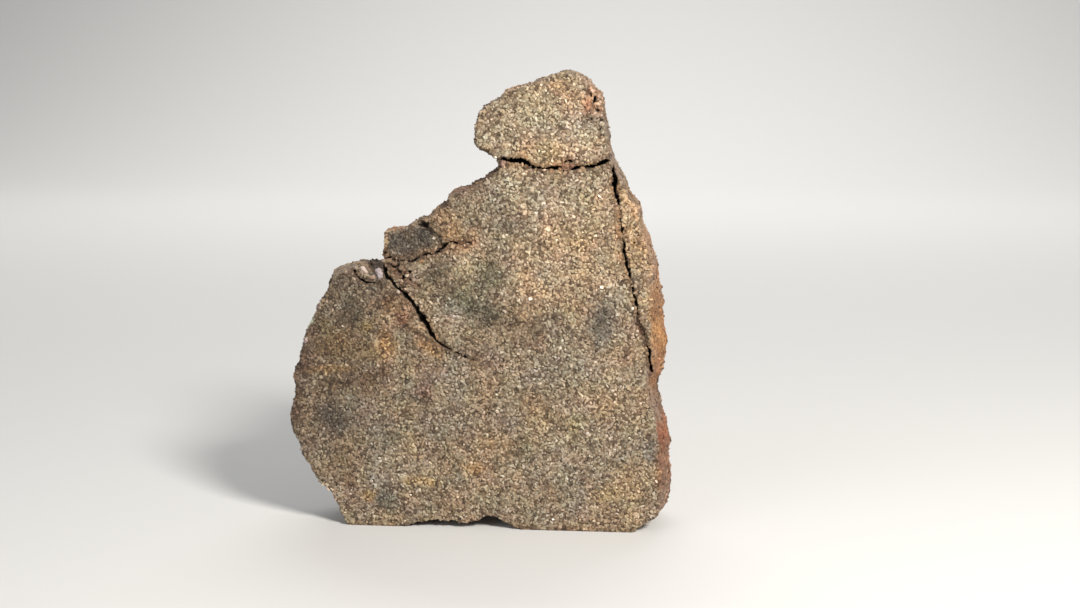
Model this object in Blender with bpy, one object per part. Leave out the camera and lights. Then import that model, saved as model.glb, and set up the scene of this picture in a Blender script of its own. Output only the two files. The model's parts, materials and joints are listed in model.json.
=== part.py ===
"""A thick cut slab of a sandy, cracked stone meteorite that stands on its lower edge.

The stone is made the way the real one was: a natural lump with a weathered rim is sawn
flat at the front and the back, and the old cracks then open in the sawn faces.
X runs to the right, Y away from the viewer and Z up. The origin is the middle of the
base. The stone is modelled in millimetres and is turned into metres at the end.
"""

import math

import bmesh
import bpy
from mathutils import Vector, noise

METRES_PER_MM = 0.001

# Driving sizes
THICKNESS = 8.6
FRONT = -THICKNESS / 2
BACK = THICKNESS / 2
CREST = FRONT + 0.42 * THICKNESS
SAW_MARGIN = 0.9
RIM_RINGS = 12
RIM_STEP = 0.32
LUMP_VOXEL = 0.25
LUMP_TRIANGLES = 12500

# Natural relief of the rim: how large the lumps are and how far they stand out. The photographed
# outline belongs to the front part, so behind its widest line the rim gets more lumps of its own.
LUMP_SIZE = 2.1
LUMP_HEIGHT = 0.17
KNOB_SIZE = 0.85
KNOB_HEIGHT = 0.1
HIND_LUMPS = 2.6
HIND_SINK = 0.22
HIND_EASING = 0.85

# The outline, clockwise from the left foot of the loose cap, as seen from the front. Each
# stretch holds its points, then how far the stone is drawn in at the front face and at the
# back face, where its natural rim curves away from its widest line.
OUTLINE = {
    "cap_left": (
        [(1.7, 34.8), (1.1, 35.2), (0.6, 35.5), (0.1, 35.7), (-0.3, 36.2), (-0.3, 36.7), (-0.2, 37.6),
         (-0.1, 38.3), (0.1, 38.9), (0.5, 39.4), (1.0, 39.8), (1.3, 40.1), (1.9, 40.3), (2.3, 40.6),
         (2.7, 41.1), (3.3, 41.3)],
        0.25, 0.9),
    "cap_top": (
        [(3.8, 41.5), (4.4, 41.6), (5.1, 41.7), (5.5, 42.0), (6.2, 42.2), (6.7, 42.5), (7.4, 42.7),
         (8.0, 42.9), (8.7, 42.9), (9.4, 42.7), (9.9, 42.3), (10.3, 41.9), (10.6, 41.4)],
        0.35, 0.8),
    "cap_right": (
        [(10.9, 41.2), (11.3, 40.8), (11.5, 40.1), (11.7, 39.1), (11.9, 38.2), (12.0, 37.3),
         (12.1, 36.4), (12.2, 35.6), (12.3, 34.9)],
        0.2, 0.5),
    "sliver": (
        [(12.8, 34.4), (13.1, 33.8), (13.5, 33.2), (13.8, 32.3), (14.2, 31.5), (14.8, 31.0),
         (15.1, 30.5), (15.2, 29.8), (15.1, 29.1), (15.5, 28.2), (15.9, 27.3), (16.3, 26.3),
         (16.5, 25.4), (16.6, 24.5)],
        0.35, 0.7),
    "crust_bulge": (
        [(16.7, 23.5), (17.0, 22.6), (17.3, 21.9), (17.4, 21.4), (17.1, 21.0), (17.1, 20.1),
         (17.2, 19.4), (17.5, 18.8), (17.6, 17.8), (17.6, 17.0), (17.5, 16.3), (17.4, 15.3),
         (17.1, 14.6), (16.7, 14.1)],
        1.35, 0.6),
    "crust_edge": (
        [(16.7, 13.5), (16.9, 12.5), (17.2, 11.7), (17.4, 10.8), (17.6, 10.1), (17.8, 9.1),
         (18.0, 8.4), (17.9, 7.8), (17.8, 7.3), (17.9, 6.5), (18.0, 5.2), (18.1, 3.8), (18.0, 2.9),
         (17.8, 2.2)],
        0.85, 0.5),
    "right_corner": (
        [(17.4, 1.8), (17.1, 1.5), (16.7, 1.1), (16.1, 0.7), (15.4, 0.2), (14.9, -0.2)],
        0.3, 0.4),
    "right_foot": ([(14.2, -0.3), (9.2, -0.35), (5.0, -0.3), (4.0, -0.15)], 0.2, 0.3),
    "arch": (
        [(3.3, 0.2), (2.7, 0.5), (2.0, 1.0), (1.4, 1.1), (0.7, 1.0), (0.0, 0.7), (-0.9, 0.5),
         (-2.2, 0.6), (-3.6, 0.6), (-5.0, 0.5)],
        0.15, 0.3),
    "left_foot": ([(-6.2, 0.25), (-7.0, -0.1), (-7.9, -0.3), (-9.9, -0.35), (-11.8, -0.3)], 0.2, 0.3),
    "lower_left": (
        [(-12.5, -0.1), (-13.0, 0.3), (-13.3, 0.9), (-13.6, 1.6), (-14.0, 2.4), (-14.3, 3.0),
         (-14.8, 3.4), (-15.3, 3.9), (-15.7, 4.5), (-16.1, 5.1), (-16.4, 5.7), (-16.7, 6.2),
         (-16.9, 6.8), (-17.1, 7.4), (-17.4, 8.1), (-17.8, 8.7)],
        0.3, 0.9),
    "upper_left": (
        [(-18.1, 9.3), (-18.3, 10.0), (-18.2, 10.9), (-18.0, 11.7), (-17.8, 12.5), (-17.7, 13.2),
         (-17.8, 13.8), (-17.8, 14.6), (-17.6, 15.2), (-17.3, 15.8), (-17.1, 16.6), (-16.9, 17.4),
         (-16.7, 18.2), (-16.4, 18.8), (-16.0, 19.5), (-15.8, 20.1), (-15.6, 20.7), (-15.3, 21.3),
         (-14.8, 21.9), (-14.4, 22.4), (-14.2, 23.1), (-14.0, 23.8)],
        0.45, 1.0),
    "lobe_top": (
        [(-13.8, 24.4), (-13.2, 24.6), (-12.5, 24.7), (-11.8, 25.0), (-11.1, 25.1), (-10.7, 25.0),
         (-10.3, 24.6), (-10.0, 24.4), (-9.5, 24.6), (-9.0, 24.9)],
        0.4, 0.3),
    "small_block": (
        [(-8.9, 25.4), (-8.9, 26.0), (-8.7, 26.9), (-8.7, 28.1), (-8.6, 28.3), (-7.7, 28.3),
         (-7.0, 28.4), (-6.4, 28.6), (-6.0, 28.9), (-5.5, 29.2), (-5.0, 29.3)],
        0.1, 0.3),
    "broken_slope": (
        [(-4.5, 29.6), (-4.1, 30.1), (-3.5, 30.5), (-2.9, 30.7), (-2.7, 31.7), (-2.2, 32.0),
         (-1.6, 32.1), (-0.9, 32.2), (-0.5, 32.5), (0.0, 32.8), (0.6, 32.9), (0.7, 33.3), (1.2, 33.6),
         (1.5, 33.8), (1.9, 34.0), (1.9, 34.5)],
        0.4, 0.5),
}

# Cracks in the front face: points along the line with the opening there, then the depth.
FRONT_CRACKS = {
    "cap_crack_left": (
        [(1.2, 34.85, 0.16), (2.5, 34.8, 0.2), (3.2, 34.7, 0.3), (3.9, 34.7, 0.38), (4.5, 34.6, 0.3),
         (5.0, 34.3, 0.24), (5.6, 34.1, 0.2), (6.2, 34.05, 0.2), (7.0, 34.1, 0.24), (7.7, 34.1, 0.18),
         (8.1, 34.35, 0.1), (8.5, 34.6, 0.06)],
        5.0),
    "cap_crack_right": (
        [(8.3, 33.8, 0.06), (8.9, 33.9, 0.14), (9.4, 34.2, 0.2), (10.0, 34.2, 0.18), (10.7, 34.2, 0.24),
         (11.1, 34.4, 0.22), (11.5, 34.6, 0.38), (11.9, 34.7, 0.3), (12.6, 34.75, 0.2)],
        5.0),
    "long_crack_upper": (
        [(12.3, 35.5, 0.16), (12.45, 34.6, 0.26), (12.6, 33.8, 0.2), (12.8, 33.0, 0.38),
         (12.7, 32.3, 0.26), (12.8, 31.9, 0.24), (13.0, 31.3, 0.2), (13.2, 30.8, 0.1),
         (13.3, 29.4, 0.06), (13.4, 28.7, 0.14), (13.4, 27.8, 0.15), (13.6, 27.0, 0.2),
         (13.7, 26.1, 0.18), (13.9, 25.3, 0.24), (14.1, 24.7, 0.24), (14.2, 24.1, 0.1),
         (14.3, 23.5, 0.14), (14.5, 22.7, 0.2), (14.7, 22.1, 0.24), (14.8, 21.5, 0.26),
         (14.9, 21.0, 0.12), (15.0, 20.5, 0.05)],
        3.6),
    "long_crack_lower": (
        [(15.8, 18.1, 0.06), (16.0, 17.5, 0.24), (16.0, 16.8, 0.25), (16.1, 16.1, 0.2),
         (16.3, 15.3, 0.16), (16.6, 14.6, 0.12), (17.3, 14.0, 0.1)],
        3.0),
    "split_crack": (
        [(-9.35, 25.9, 0.34), (-8.9, 25.1, 0.3), (-8.6, 24.4, 0.3), (-8.4, 23.9, 0.28),
         (-8.0, 23.5, 0.2), (-7.5, 22.9, 0.18), (-7.0, 22.6, 0.26), (-6.5, 22.1, 0.34),
         (-5.9, 21.5, 0.34), (-5.5, 20.7, 0.4), (-5.1, 20.1, 0.56), (-4.6, 19.5, 0.5),
         (-4.3, 18.8, 0.4), (-4.0, 18.3, 0.3), (-3.7, 17.9, 0.16), (-3.1, 17.5, 0.12),
         (-2.5, 17.2, 0.1), (-1.4, 16.7, 0.08), (-0.1, 16.2, 0.05)],
        5.2),
    "split_side_crack": (
        [(-7.2, 20.1, 0.05), (-6.7, 19.5, 0.1), (-6.0, 19.1, 0.08), (-5.3, 18.6, 0.12),
         (-4.6, 18.1, 0.1), (-4.0, 17.75, 0.06)],
        1.0),
    "block_crack": (
        [(-9.3, 25.6, 0.2), (-8.0, 25.6, 0.18), (-7.5, 25.3, 0.16), (-6.7, 25.4, 0.12),
         (-6.0, 25.5, 0.14), (-5.2, 25.9, 0.18), (-4.5, 26.1, 0.18), (-4.0, 26.1, 0.2),
         (-3.5, 26.4, 0.26), (-3.0, 26.8, 0.26), (-2.5, 27.2, 0.16), (-2.2, 27.3, 0.12),
         (-1.6, 27.2, 0.14), (-0.9, 27.2, 0.1), (-0.1, 27.3, 0.06), (0.7, 27.5, 0.1), (1.4, 27.8, 0.06)],
        2.4),
    "hollow_crack": ([(-4.6, 28.7, 0.16), (-4.2, 28.3, 0.12), (-3.7, 28.0, 0.14), (-3.0, 27.6, 0.06)], 1.2),
    "flake_crack": (
        [(-12.0, 25.4, 0.1), (-11.8, 24.6, 0.12), (-11.4, 24.1, 0.14), (-10.9, 23.7, 0.16),
         (-10.3, 23.4, 0.16), (-9.7, 23.3, 0.14), (-9.0, 23.4, 0.1), (-8.4, 23.6, 0.06)],
        1.4),
}

# The same cracks where they come out of the back face, narrower and a little out of line.
BACK_CRACKS = {
    "cap_crack_back": (
        [(1.2, 34.9, 0.16), (3.0, 34.9, 0.2), (4.8, 34.5, 0.26), (6.6, 34.4, 0.18), (8.2, 34.5, 0.16),
         (9.8, 34.3, 0.2), (11.2, 34.6, 0.24), (12.7, 34.8, 0.2)],
        2.4),
    "long_crack_back": (
        [(12.2, 35.4, 0.14), (12.4, 33.9, 0.2), (12.7, 32.2, 0.22), (12.9, 30.4, 0.14),
         (13.2, 28.6, 0.12), (13.4, 26.6, 0.16), (13.9, 24.8, 0.12), (14.3, 23.2, 0.05)],
        2.0),
    "split_crack_back": (
        [(-9.3, 26.0, 0.3), (-8.7, 24.6, 0.26), (-7.9, 23.2, 0.2), (-7.1, 22.2, 0.22),
         (-6.2, 21.2, 0.2), (-5.6, 20.1, 0.14), (-4.7, 19.2, 0.06)],
        2.4),
    "lobe_crack_back": (
        [(-16.1, 20.0, 0.12), (-15.1, 18.9, 0.16), (-14.2, 18.3, 0.12), (-13.0, 17.1, 0.1),
         (-12.3, 15.9, 0.05)],
        1.2),
}

# Places where the sawn face has broken away: the near edge lies in the face, the far edge
# lies lower by the stated drop. Corners run round each place.
CHIPS = {
    "flake_bevel": ([(-12.0, 24.7, 0.05), (-11.4, 24.15, 0.08), (-10.7, 23.65, 0.1), (-9.7, 23.4, 0.1),
                     (-8.7, 23.9, 0.25), (-8.7, 25.9, 1.0), (-12.0, 26.2, 1.0)]),
    "cap_chamfer": ([(8.7, 43.6, 0.5), (8.9, 42.2, 0.12), (9.3, 40.6, 0.06), (10.3, 39.5, 0.06),
                     (11.5, 38.2, 0.06), (13.0, 38.4, 1.0), (12.5, 42.6, 1.8), (10.8, 43.8, 1.6)]),
    "block_face": ([(-9.6, 25.65, 0.3), (-8.0, 25.65, 0.28), (-7.0, 25.4, 0.26), (-6.0, 25.55, 0.26),
                    (-4.5, 26.15, 0.3), (-3.4, 26.55, 0.34), (-2.9, 27.0, 0.34), (-3.2, 27.7, 0.3),
                    (-4.2, 28.3, 0.3), (-4.9, 29.6, 0.36), (-9.6, 29.4, 0.3)]),
    "corner_chip": ([(16.4, 1.9, 0.05), (15.2, 1.0, 0.05), (14.3, -0.8, 0.3), (18.6, -0.8, 1.3),
                     (18.6, 2.6, 0.8)]),
    "left_chip": ([(-15.5, 21.6, 0.3), (-15.6, 19.6, 0.05), (-16.4, 17.6, 0.05), (-16.9, 16.2, 0.1),
                   (-18.5, 16.2, 0.8), (-17.4, 21.6, 0.9)]),
}

# Pits: the middle in the front face, then half the width, depth and height, and the tilt in degrees.
PITS = {
    "hollow": ((-4.95, 28.85), (0.78, 1.5, 0.36), -6),
    "filled_hollow": ((15.35, 19.1), (0.42, 0.38, 1.45), 20),
    "cap_pit": ((10.8, 40.2), (0.16, 1.6, 0.5), -5),
    "notch_pit_upper": ((-7.6, 24.95), (0.34, 0.7, 0.2), 25),
    "notch_pit_lower": ((-6.9, 23.9), (0.2, 0.6, 0.36), -30),
}

CRACK_OVERLAP = 0.5
CRACK_FLARE = 1.2
TIP_WANDER = 0.22
MERGE_DISTANCE = 0.0005

STONE_COLOUR = (0.27, 0.215, 0.15, 1.0)
STONE_ROUGHNESS = 0.85


def clear_scene():
    for obj in list(bpy.data.objects):
        bpy.data.objects.remove(obj, do_unlink=True)


def link(obj):
    bpy.context.scene.collection.objects.link(obj)
    return obj


def mesh_object(name, vertices, faces):
    """A new object from points and faces, with its faces turned outwards."""
    mesh = bpy.data.meshes.new(name)
    mesh.from_pydata(vertices, [], faces)
    obj = link(bpy.data.objects.new(name, mesh))
    rebuild(obj, lambda bm: bmesh.ops.recalc_face_normals(bm, faces=bm.faces))
    return obj


def rebuild(obj, change):
    """Runs one change on the object's mesh."""
    bm = bmesh.new()
    bm.from_mesh(obj.data)
    change(bm)
    bm.to_mesh(obj.data)
    bm.free()
    obj.data.update()


def apply_modifiers(obj):
    """Makes the object's mesh what its modifiers show."""
    graph = bpy.context.evaluated_depsgraph_get()
    mesh = bpy.data.meshes.new_from_object(obj.evaluated_get(graph))
    obj.modifiers.clear()
    obj.data = mesh


def outline_samples():
    """Evenly spaced (x, z, front inset, back inset) round the outline."""
    corners = [
        (x, z, front, back)
        for points, front, back in OUTLINE.values()
        for x, z in points
    ]
    samples = []
    for start, end in zip(corners, corners[1:] + corners[:1]):
        length = math.dist(start[:2], end[:2])
        steps = max(1, round(length / RIM_STEP))
        for step in range(steps):
            share = step / steps
            samples.append([a + (b - a) * share for a, b in zip(start, end)])
    return samples


def averaged(values, reach):
    """Each value of a closed loop averaged with its neighbours within reach."""
    count = len(values)
    span = range(-reach, reach + 1)
    return [sum(values[(i + k) % count] for k in span) / len(span) for i in range(count)]


def rim_normals(samples, reach):
    """Smoothed inward directions of a clockwise outline."""
    count = len(samples)
    normals = []
    for i in range(count):
        before = samples[(i - reach) % count]
        after = samples[(i + reach) % count]
        dx, dz = after[0] - before[0], after[1] - before[1]
        length = math.hypot(dx, dz) or 1.0
        normals.append((dz / length, -dx / length))
    return normals


def rim_inset(depth, front, back):
    """How far the rim is drawn in at a depth: nothing at the crest, more towards each face."""
    if depth < CREST:
        return front * ((CREST - depth) / (CREST - FRONT)) ** 2
    return back * ((depth - CREST) / (BACK - CREST)) ** 2


def hindness(depth):
    """0 in front of the widest line of the rim, rising to 1 at the back face."""
    return min(max((depth - CREST) / (BACK - CREST), 0.0), 1.0)


def natural_lump():
    """The stone before it was sawn: rings of the outline from front to back, closed at both ends."""
    samples = outline_samples()
    normals = rim_normals(samples, reach=4)
    eased_x = averaged([s[0] for s in samples], reach=7)
    eased_z = averaged([s[1] for s in samples], reach=7)
    fronts = averaged([s[2] for s in samples], reach=2)
    backs = averaged([s[3] for s in samples], reach=4)
    count = len(samples)
    vertices = []
    for ring in range(RIM_RINGS):
        share = ring / (RIM_RINGS - 1)
        depth = FRONT - SAW_MARGIN + share * (THICKNESS + 2 * SAW_MARGIN)
        easing = HIND_EASING * hindness(depth)
        for i, (nx, nz) in enumerate(normals):
            inset = rim_inset(depth, fronts[i], backs[i])
            x = samples[i][0] + (eased_x[i] - samples[i][0]) * easing + nx * inset
            z = samples[i][1] + (eased_z[i] - samples[i][1]) * easing + nz * inset
            vertices.append((x, depth, z))
    faces = [list(range(count)), list(range(count * (RIM_RINGS - 1), count * RIM_RINGS))]
    for ring in range(RIM_RINGS - 1):
        for i in range(count):
            a = ring * count + i
            b = ring * count + (i + 1) % count
            faces.append([a, b, b + count, a + count])
    lump = mesh_object("winonaite_slab", vertices, faces)
    remesh = lump.modifiers.new("even_skin", "REMESH")
    remesh.mode = "VOXEL"
    remesh.voxel_size = LUMP_VOXEL
    apply_modifiers(lump)
    return lump


def weather(lump):
    """Raises the lumps and knobs that weathering left on the rim."""
    mesh = lump.data
    shifted = []
    for vertex in mesh.vertices:
        hind = hindness(vertex.co.y)
        broad = noise.noise(vertex.co / LUMP_SIZE)
        fine = noise.noise(vertex.co / KNOB_SIZE + Vector((7.3, 1.9, 4.1)))
        raised = LUMP_HEIGHT * broad * (1 + HIND_LUMPS * hind) + KNOB_HEIGHT * fine - HIND_SINK * hind
        shifted.append(vertex.co + vertex.normal * raised)
    for vertex, place in zip(mesh.vertices, shifted):
        vertex.co = place
    mesh.update()
    thin = lump.modifiers.new("fewer_faces", "DECIMATE")
    thin.ratio = LUMP_TRIANGLES / (2 * len(mesh.polygons))
    apply_modifiers(lump)


def saw_cut(name, low, high):
    """A box with two opposite corners given, for one flat cut of the saw."""
    vertices = [(x, y, z) for x in (low[0], high[0]) for y in (low[1], high[1]) for z in (low[2], high[2])]
    faces = [(0, 1, 3, 2), (4, 6, 7, 5), (0, 4, 5, 1), (2, 3, 7, 6), (0, 2, 6, 4), (1, 5, 7, 3)]
    return as_cutter(mesh_object(name, vertices, faces))


def saw_cuts():
    """The front and back cuts of the saw, and the ground feet."""
    return [
        saw_cut("front_saw", (-30, FRONT - 5, -5), (30, FRONT, 50)),
        saw_cut("back_saw", (-30, BACK, -5), (30, BACK + 5, 50)),
        saw_cut("base_saw", (-30, FRONT - 5, -5), (30, BACK + 5, 0)),
    ]


def as_cutter(obj):
    obj.hide_render = True
    obj.display_type = "WIRE"
    return obj


def crack_cutter(name, line, depth, face, inward):
    """A long wedge that opens at a sawn face and closes at the stated depth."""
    widest = max(opening for _, _, opening in line)
    mouth = face - inward * CRACK_OVERLAP
    vertices = []
    for i, (x, z, opening) in enumerate(line):
        before, after = line[max(i - 1, 0)], line[min(i + 1, len(line) - 1)]
        dx, dz = after[0] - before[0], after[1] - before[1]
        length = math.hypot(dx, dz)
        across = (dz / length, -dx / length)
        half = opening / 2 * CRACK_FLARE
        reach = depth * (0.35 + 0.65 * opening / widest)
        wander = TIP_WANDER * noise.noise(Vector((x, z, depth)))
        for side in (-1, 1):
            vertices.append((x + side * half * across[0], mouth, z + side * half * across[1]))
        vertices.append((x + wander * across[0], face + inward * reach, z + wander * across[1]))
    faces = [(0, 1, 2), tuple(range(len(vertices) - 3, len(vertices)))]
    for i in range(len(line) - 1):
        for a, b in ((0, 1), (1, 2), (2, 0)):
            faces.append((3 * i + a, 3 * i + b, 3 * i + 3 + b, 3 * i + 3 + a))
    return as_cutter(mesh_object(name, vertices, faces))


def chip_cutter(name, corners):
    """A block in front of the sawn face whose far side slopes as its corners say."""
    count = len(corners)
    near = [(x, FRONT - CRACK_OVERLAP, z) for x, z, _ in corners]
    far = [(x, FRONT + drop, z) for x, z, drop in corners]
    middle = tuple(sum(p[axis] for p in far) / count for axis in range(3))
    vertices = near + far + [middle]
    faces = [tuple(range(count))]
    for i in range(count):
        j = (i + 1) % count
        faces.append((i, j, count + j, count + i))
        faces.append((count + i, count + j, 2 * count))
    return as_cutter(mesh_object(name, vertices, faces))


def pit_cutter(name, middle, half_sizes, tilt):
    """A rough egg sunk into the front face."""
    bm = bmesh.new()
    bmesh.ops.create_icosphere(bm, subdivisions=2, radius=1.0)
    angle = math.radians(tilt)
    for vertex in bm.verts:
        rough = 1 + 0.22 * noise.noise(vertex.co * 1.7 + Vector((middle[0], 0, middle[1])))
        x, y, z = (c * half * rough for c, half in zip(vertex.co, half_sizes))
        turned_x = x * math.cos(angle) - z * math.sin(angle)
        turned_z = x * math.sin(angle) + z * math.cos(angle)
        vertex.co = (middle[0] + turned_x, FRONT + y, middle[1] + turned_z)
    mesh = bpy.data.meshes.new(name)
    bm.to_mesh(mesh)
    bm.free()
    return as_cutter(link(bpy.data.objects.new(name, mesh)))


def damage_cuts():
    """Every chip, pit and crack as a shape to take out of the stone."""
    cuts = [chip_cutter(name, corners) for name, corners in CHIPS.items()]
    cuts += [pit_cutter(name, *pit) for name, pit in PITS.items()]
    cuts += [crack_cutter(name, line, depth, FRONT, 1) for name, (line, depth) in FRONT_CRACKS.items()]
    cuts += [crack_cutter(name, line, depth, BACK, -1) for name, (line, depth) in BACK_CRACKS.items()]
    return cuts


def cut_away(lump, name, cutters):
    """Takes all the cutters' shapes out of the stone in one go."""
    group = bpy.data.collections.new(name)
    bpy.context.scene.collection.children.link(group)
    for cutter in cutters:
        group.objects.link(cutter)
        bpy.context.scene.collection.objects.unlink(cutter)
    boolean = lump.modifiers.new(name, "BOOLEAN")
    boolean.operation = "DIFFERENCE"
    boolean.solver = "EXACT"
    boolean.operand_type = "COLLECTION"
    boolean.collection = group
    apply_modifiers(lump)


def close_up_slivers(bm):
    """Merges points that the cuts left almost on top of each other."""
    bmesh.ops.triangulate(bm, faces=bm.faces, ngon_method="BEAUTY")
    bmesh.ops.remove_doubles(bm, verts=bm.verts, dist=MERGE_DISTANCE)
    bmesh.ops.dissolve_degenerate(bm, edges=bm.edges, dist=MERGE_DISTANCE)
    bmesh.ops.triangulate(bm, faces=bm.faces, ngon_method="BEAUTY")


def centre_in_metres(lump):
    """Puts the origin in the middle of the base and turns millimetres into metres."""
    xs = [vertex.co.x for vertex in lump.data.vertices]
    middle = Vector(((min(xs) + max(xs)) / 2, 0, 0))
    for vertex in lump.data.vertices:
        vertex.co = (vertex.co - middle) * METRES_PER_MM
    lump.data.update()


def stone_material():
    material = bpy.data.materials.new("weathered_stone")
    material.use_nodes = True
    surface = material.node_tree.nodes["Principled BSDF"]
    surface.inputs["Base Color"].default_value = STONE_COLOUR
    surface.inputs["Roughness"].default_value = STONE_ROUGHNESS
    surface.inputs["Metallic"].default_value = 0.0
    return material


def build():
    clear_scene()
    slab = natural_lump()
    weather(slab)
    cut_away(slab, "sawing", saw_cuts())
    cut_away(slab, "damage", damage_cuts())
    rebuild(slab, close_up_slivers)
    centre_in_metres(slab)
    slab.data.materials.clear()
    slab.data.materials.append(stone_material())
    return slab


build()
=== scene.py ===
"""The looks of a sawn, sandy stone meteorite slab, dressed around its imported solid.

The slab's skin is rebuilt with a fine natural relief, and thousands of small mineral grains
are set in the sawn faces and the broken rim. Shapes are worked out in millimetres and
turned into metres when a piece is finished. X is right, Y is away from the viewer, Z is up.
"""

import json
import math
from contextlib import contextmanager

import bmesh
import bpy
import numpy as np
from mathutils import Matrix, Vector, noise
from mathutils.bvhtree import BVHTree

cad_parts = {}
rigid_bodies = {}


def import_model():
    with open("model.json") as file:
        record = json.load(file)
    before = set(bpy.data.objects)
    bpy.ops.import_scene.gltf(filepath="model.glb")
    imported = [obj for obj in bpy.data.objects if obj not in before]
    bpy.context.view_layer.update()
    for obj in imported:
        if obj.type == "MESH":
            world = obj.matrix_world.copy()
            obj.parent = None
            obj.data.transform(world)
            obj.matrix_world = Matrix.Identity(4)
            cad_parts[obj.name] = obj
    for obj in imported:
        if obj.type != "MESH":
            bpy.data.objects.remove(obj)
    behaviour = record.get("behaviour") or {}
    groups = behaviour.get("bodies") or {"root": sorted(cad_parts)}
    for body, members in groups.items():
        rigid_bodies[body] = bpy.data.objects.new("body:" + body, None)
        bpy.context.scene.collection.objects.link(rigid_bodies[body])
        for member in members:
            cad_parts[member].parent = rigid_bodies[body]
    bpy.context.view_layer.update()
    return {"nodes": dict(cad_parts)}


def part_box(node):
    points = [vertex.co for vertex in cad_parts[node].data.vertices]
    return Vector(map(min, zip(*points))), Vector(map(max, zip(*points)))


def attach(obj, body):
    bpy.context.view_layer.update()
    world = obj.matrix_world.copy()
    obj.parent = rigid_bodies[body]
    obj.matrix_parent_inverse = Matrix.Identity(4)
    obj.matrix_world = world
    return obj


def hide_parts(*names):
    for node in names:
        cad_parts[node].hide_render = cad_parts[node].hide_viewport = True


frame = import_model()

MM = 0.001
NODE = "winonaite_slab"

low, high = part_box(NODE)
FRONT = low.y / MM
BACK = high.y / MM

# Skin of the slab, in millimetres
SKIN_VOXEL = 0.085
SKIN_TRIANGLES = 188000
SKIN_INSET = 0.1
MERGE_DISTANCE = 0.0005
SMOOTH_ANGLE = math.radians(60)
FACE_WAVE_SIZE, FACE_WAVE_HEIGHT = 0.9, 0.05
RIM_LUMP_SIZE, RIM_LUMP_HEIGHT = 0.85, 0.26
RIM_GRIT_SIZE, RIM_GRIT_HEIGHT = 0.36, 0.18
SHELTER_RAYS = 7
SHELTER_REACH = 1.1
SHELTER_START = 0.05

# Mineral grains, in millimetres: least distance between them, and size
FACE_GRAIN_GAP, FACE_GRAIN_SIZE = 0.23, 0.178
RIM_GRAIN_GAP, RIM_GRAIN_SIZE = 0.3, 0.165
# Share of its size that a grain is sunk, and its most tilt in radians
GRAIN_SINK, GRAIN_TILT = 0.2, 0.6
# Least height of a grain's middle, and its least distance from a crack, in millimetres
FOOT_CLEARANCE = 0.2
CRACK_CLEARANCE = 0.03
# X where the grains of a sawn face are parted in two pieces
GRAINS_PARTED_AT = 2.5
# Most depth of a single crumb's middle behind the sawn face
CRUMB_DEPTH = 0.3

# Where grains lie: up to what rimness the skin counts as sawn face, and how closed in it may be
FACE_RIMNESS = 0.35
FACE_SHELTER = 0.3
RIM_SHELTER = 0.45

# Soft noise laid over places: strength, size in millimetres and seed of each layer
RAGGED_EDGES = [(1.0, 1.6, 4), (0.6, 0.6, 9)]
LIGHTNESS = [(0.18, 3.4, 21), (0.13, 1.3, 22), (0.05, 0.55, 23)]
WARMTH = [(0.1, 2.6, 31), (0.05, 0.9, 32)]
GREENNESS = [(0.04, 1.9, 41), (0.02, 0.8, 42)]
RIM_SWAY = [(1.7, 3.4, 51), (0.6, 1.3, 52)]
RIM_DEPTH_SWAY = [(1.3, 2.2, 53)]

# Cracks, in millimetres: how much wider lost crumbs have left them at the skin, how far apart
# the points of a ragged edge are, and how wide the brown margin is
CRACK_WIDENING = 0.06
CRACK_STEP = 0.15
CRACK_MARGIN_WIDTH = 0.34
# How far a crack strays to the side and by what share it swells, each with its length of wave
CRACK_STRAY, CRACK_STRAY_WAVE = 0.16, 0.42
CRACK_SWELL, CRACK_SWELL_WAVE = 1.2, 0.4
# A crack's wedge: how far it stands out of the face, half its width there as a share of the
# opening, and the share of the depth that even its narrowest places reach
CRACK_OVERLAP = 0.6
CRACK_MOUTH = 0.56
CRACK_LEAST_DEPTH = 0.35
# Y where the cracks of the front give way to those of the back
CRACKS_PARTED_AT = 1.2
FAR_AWAY = 99.0

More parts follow.
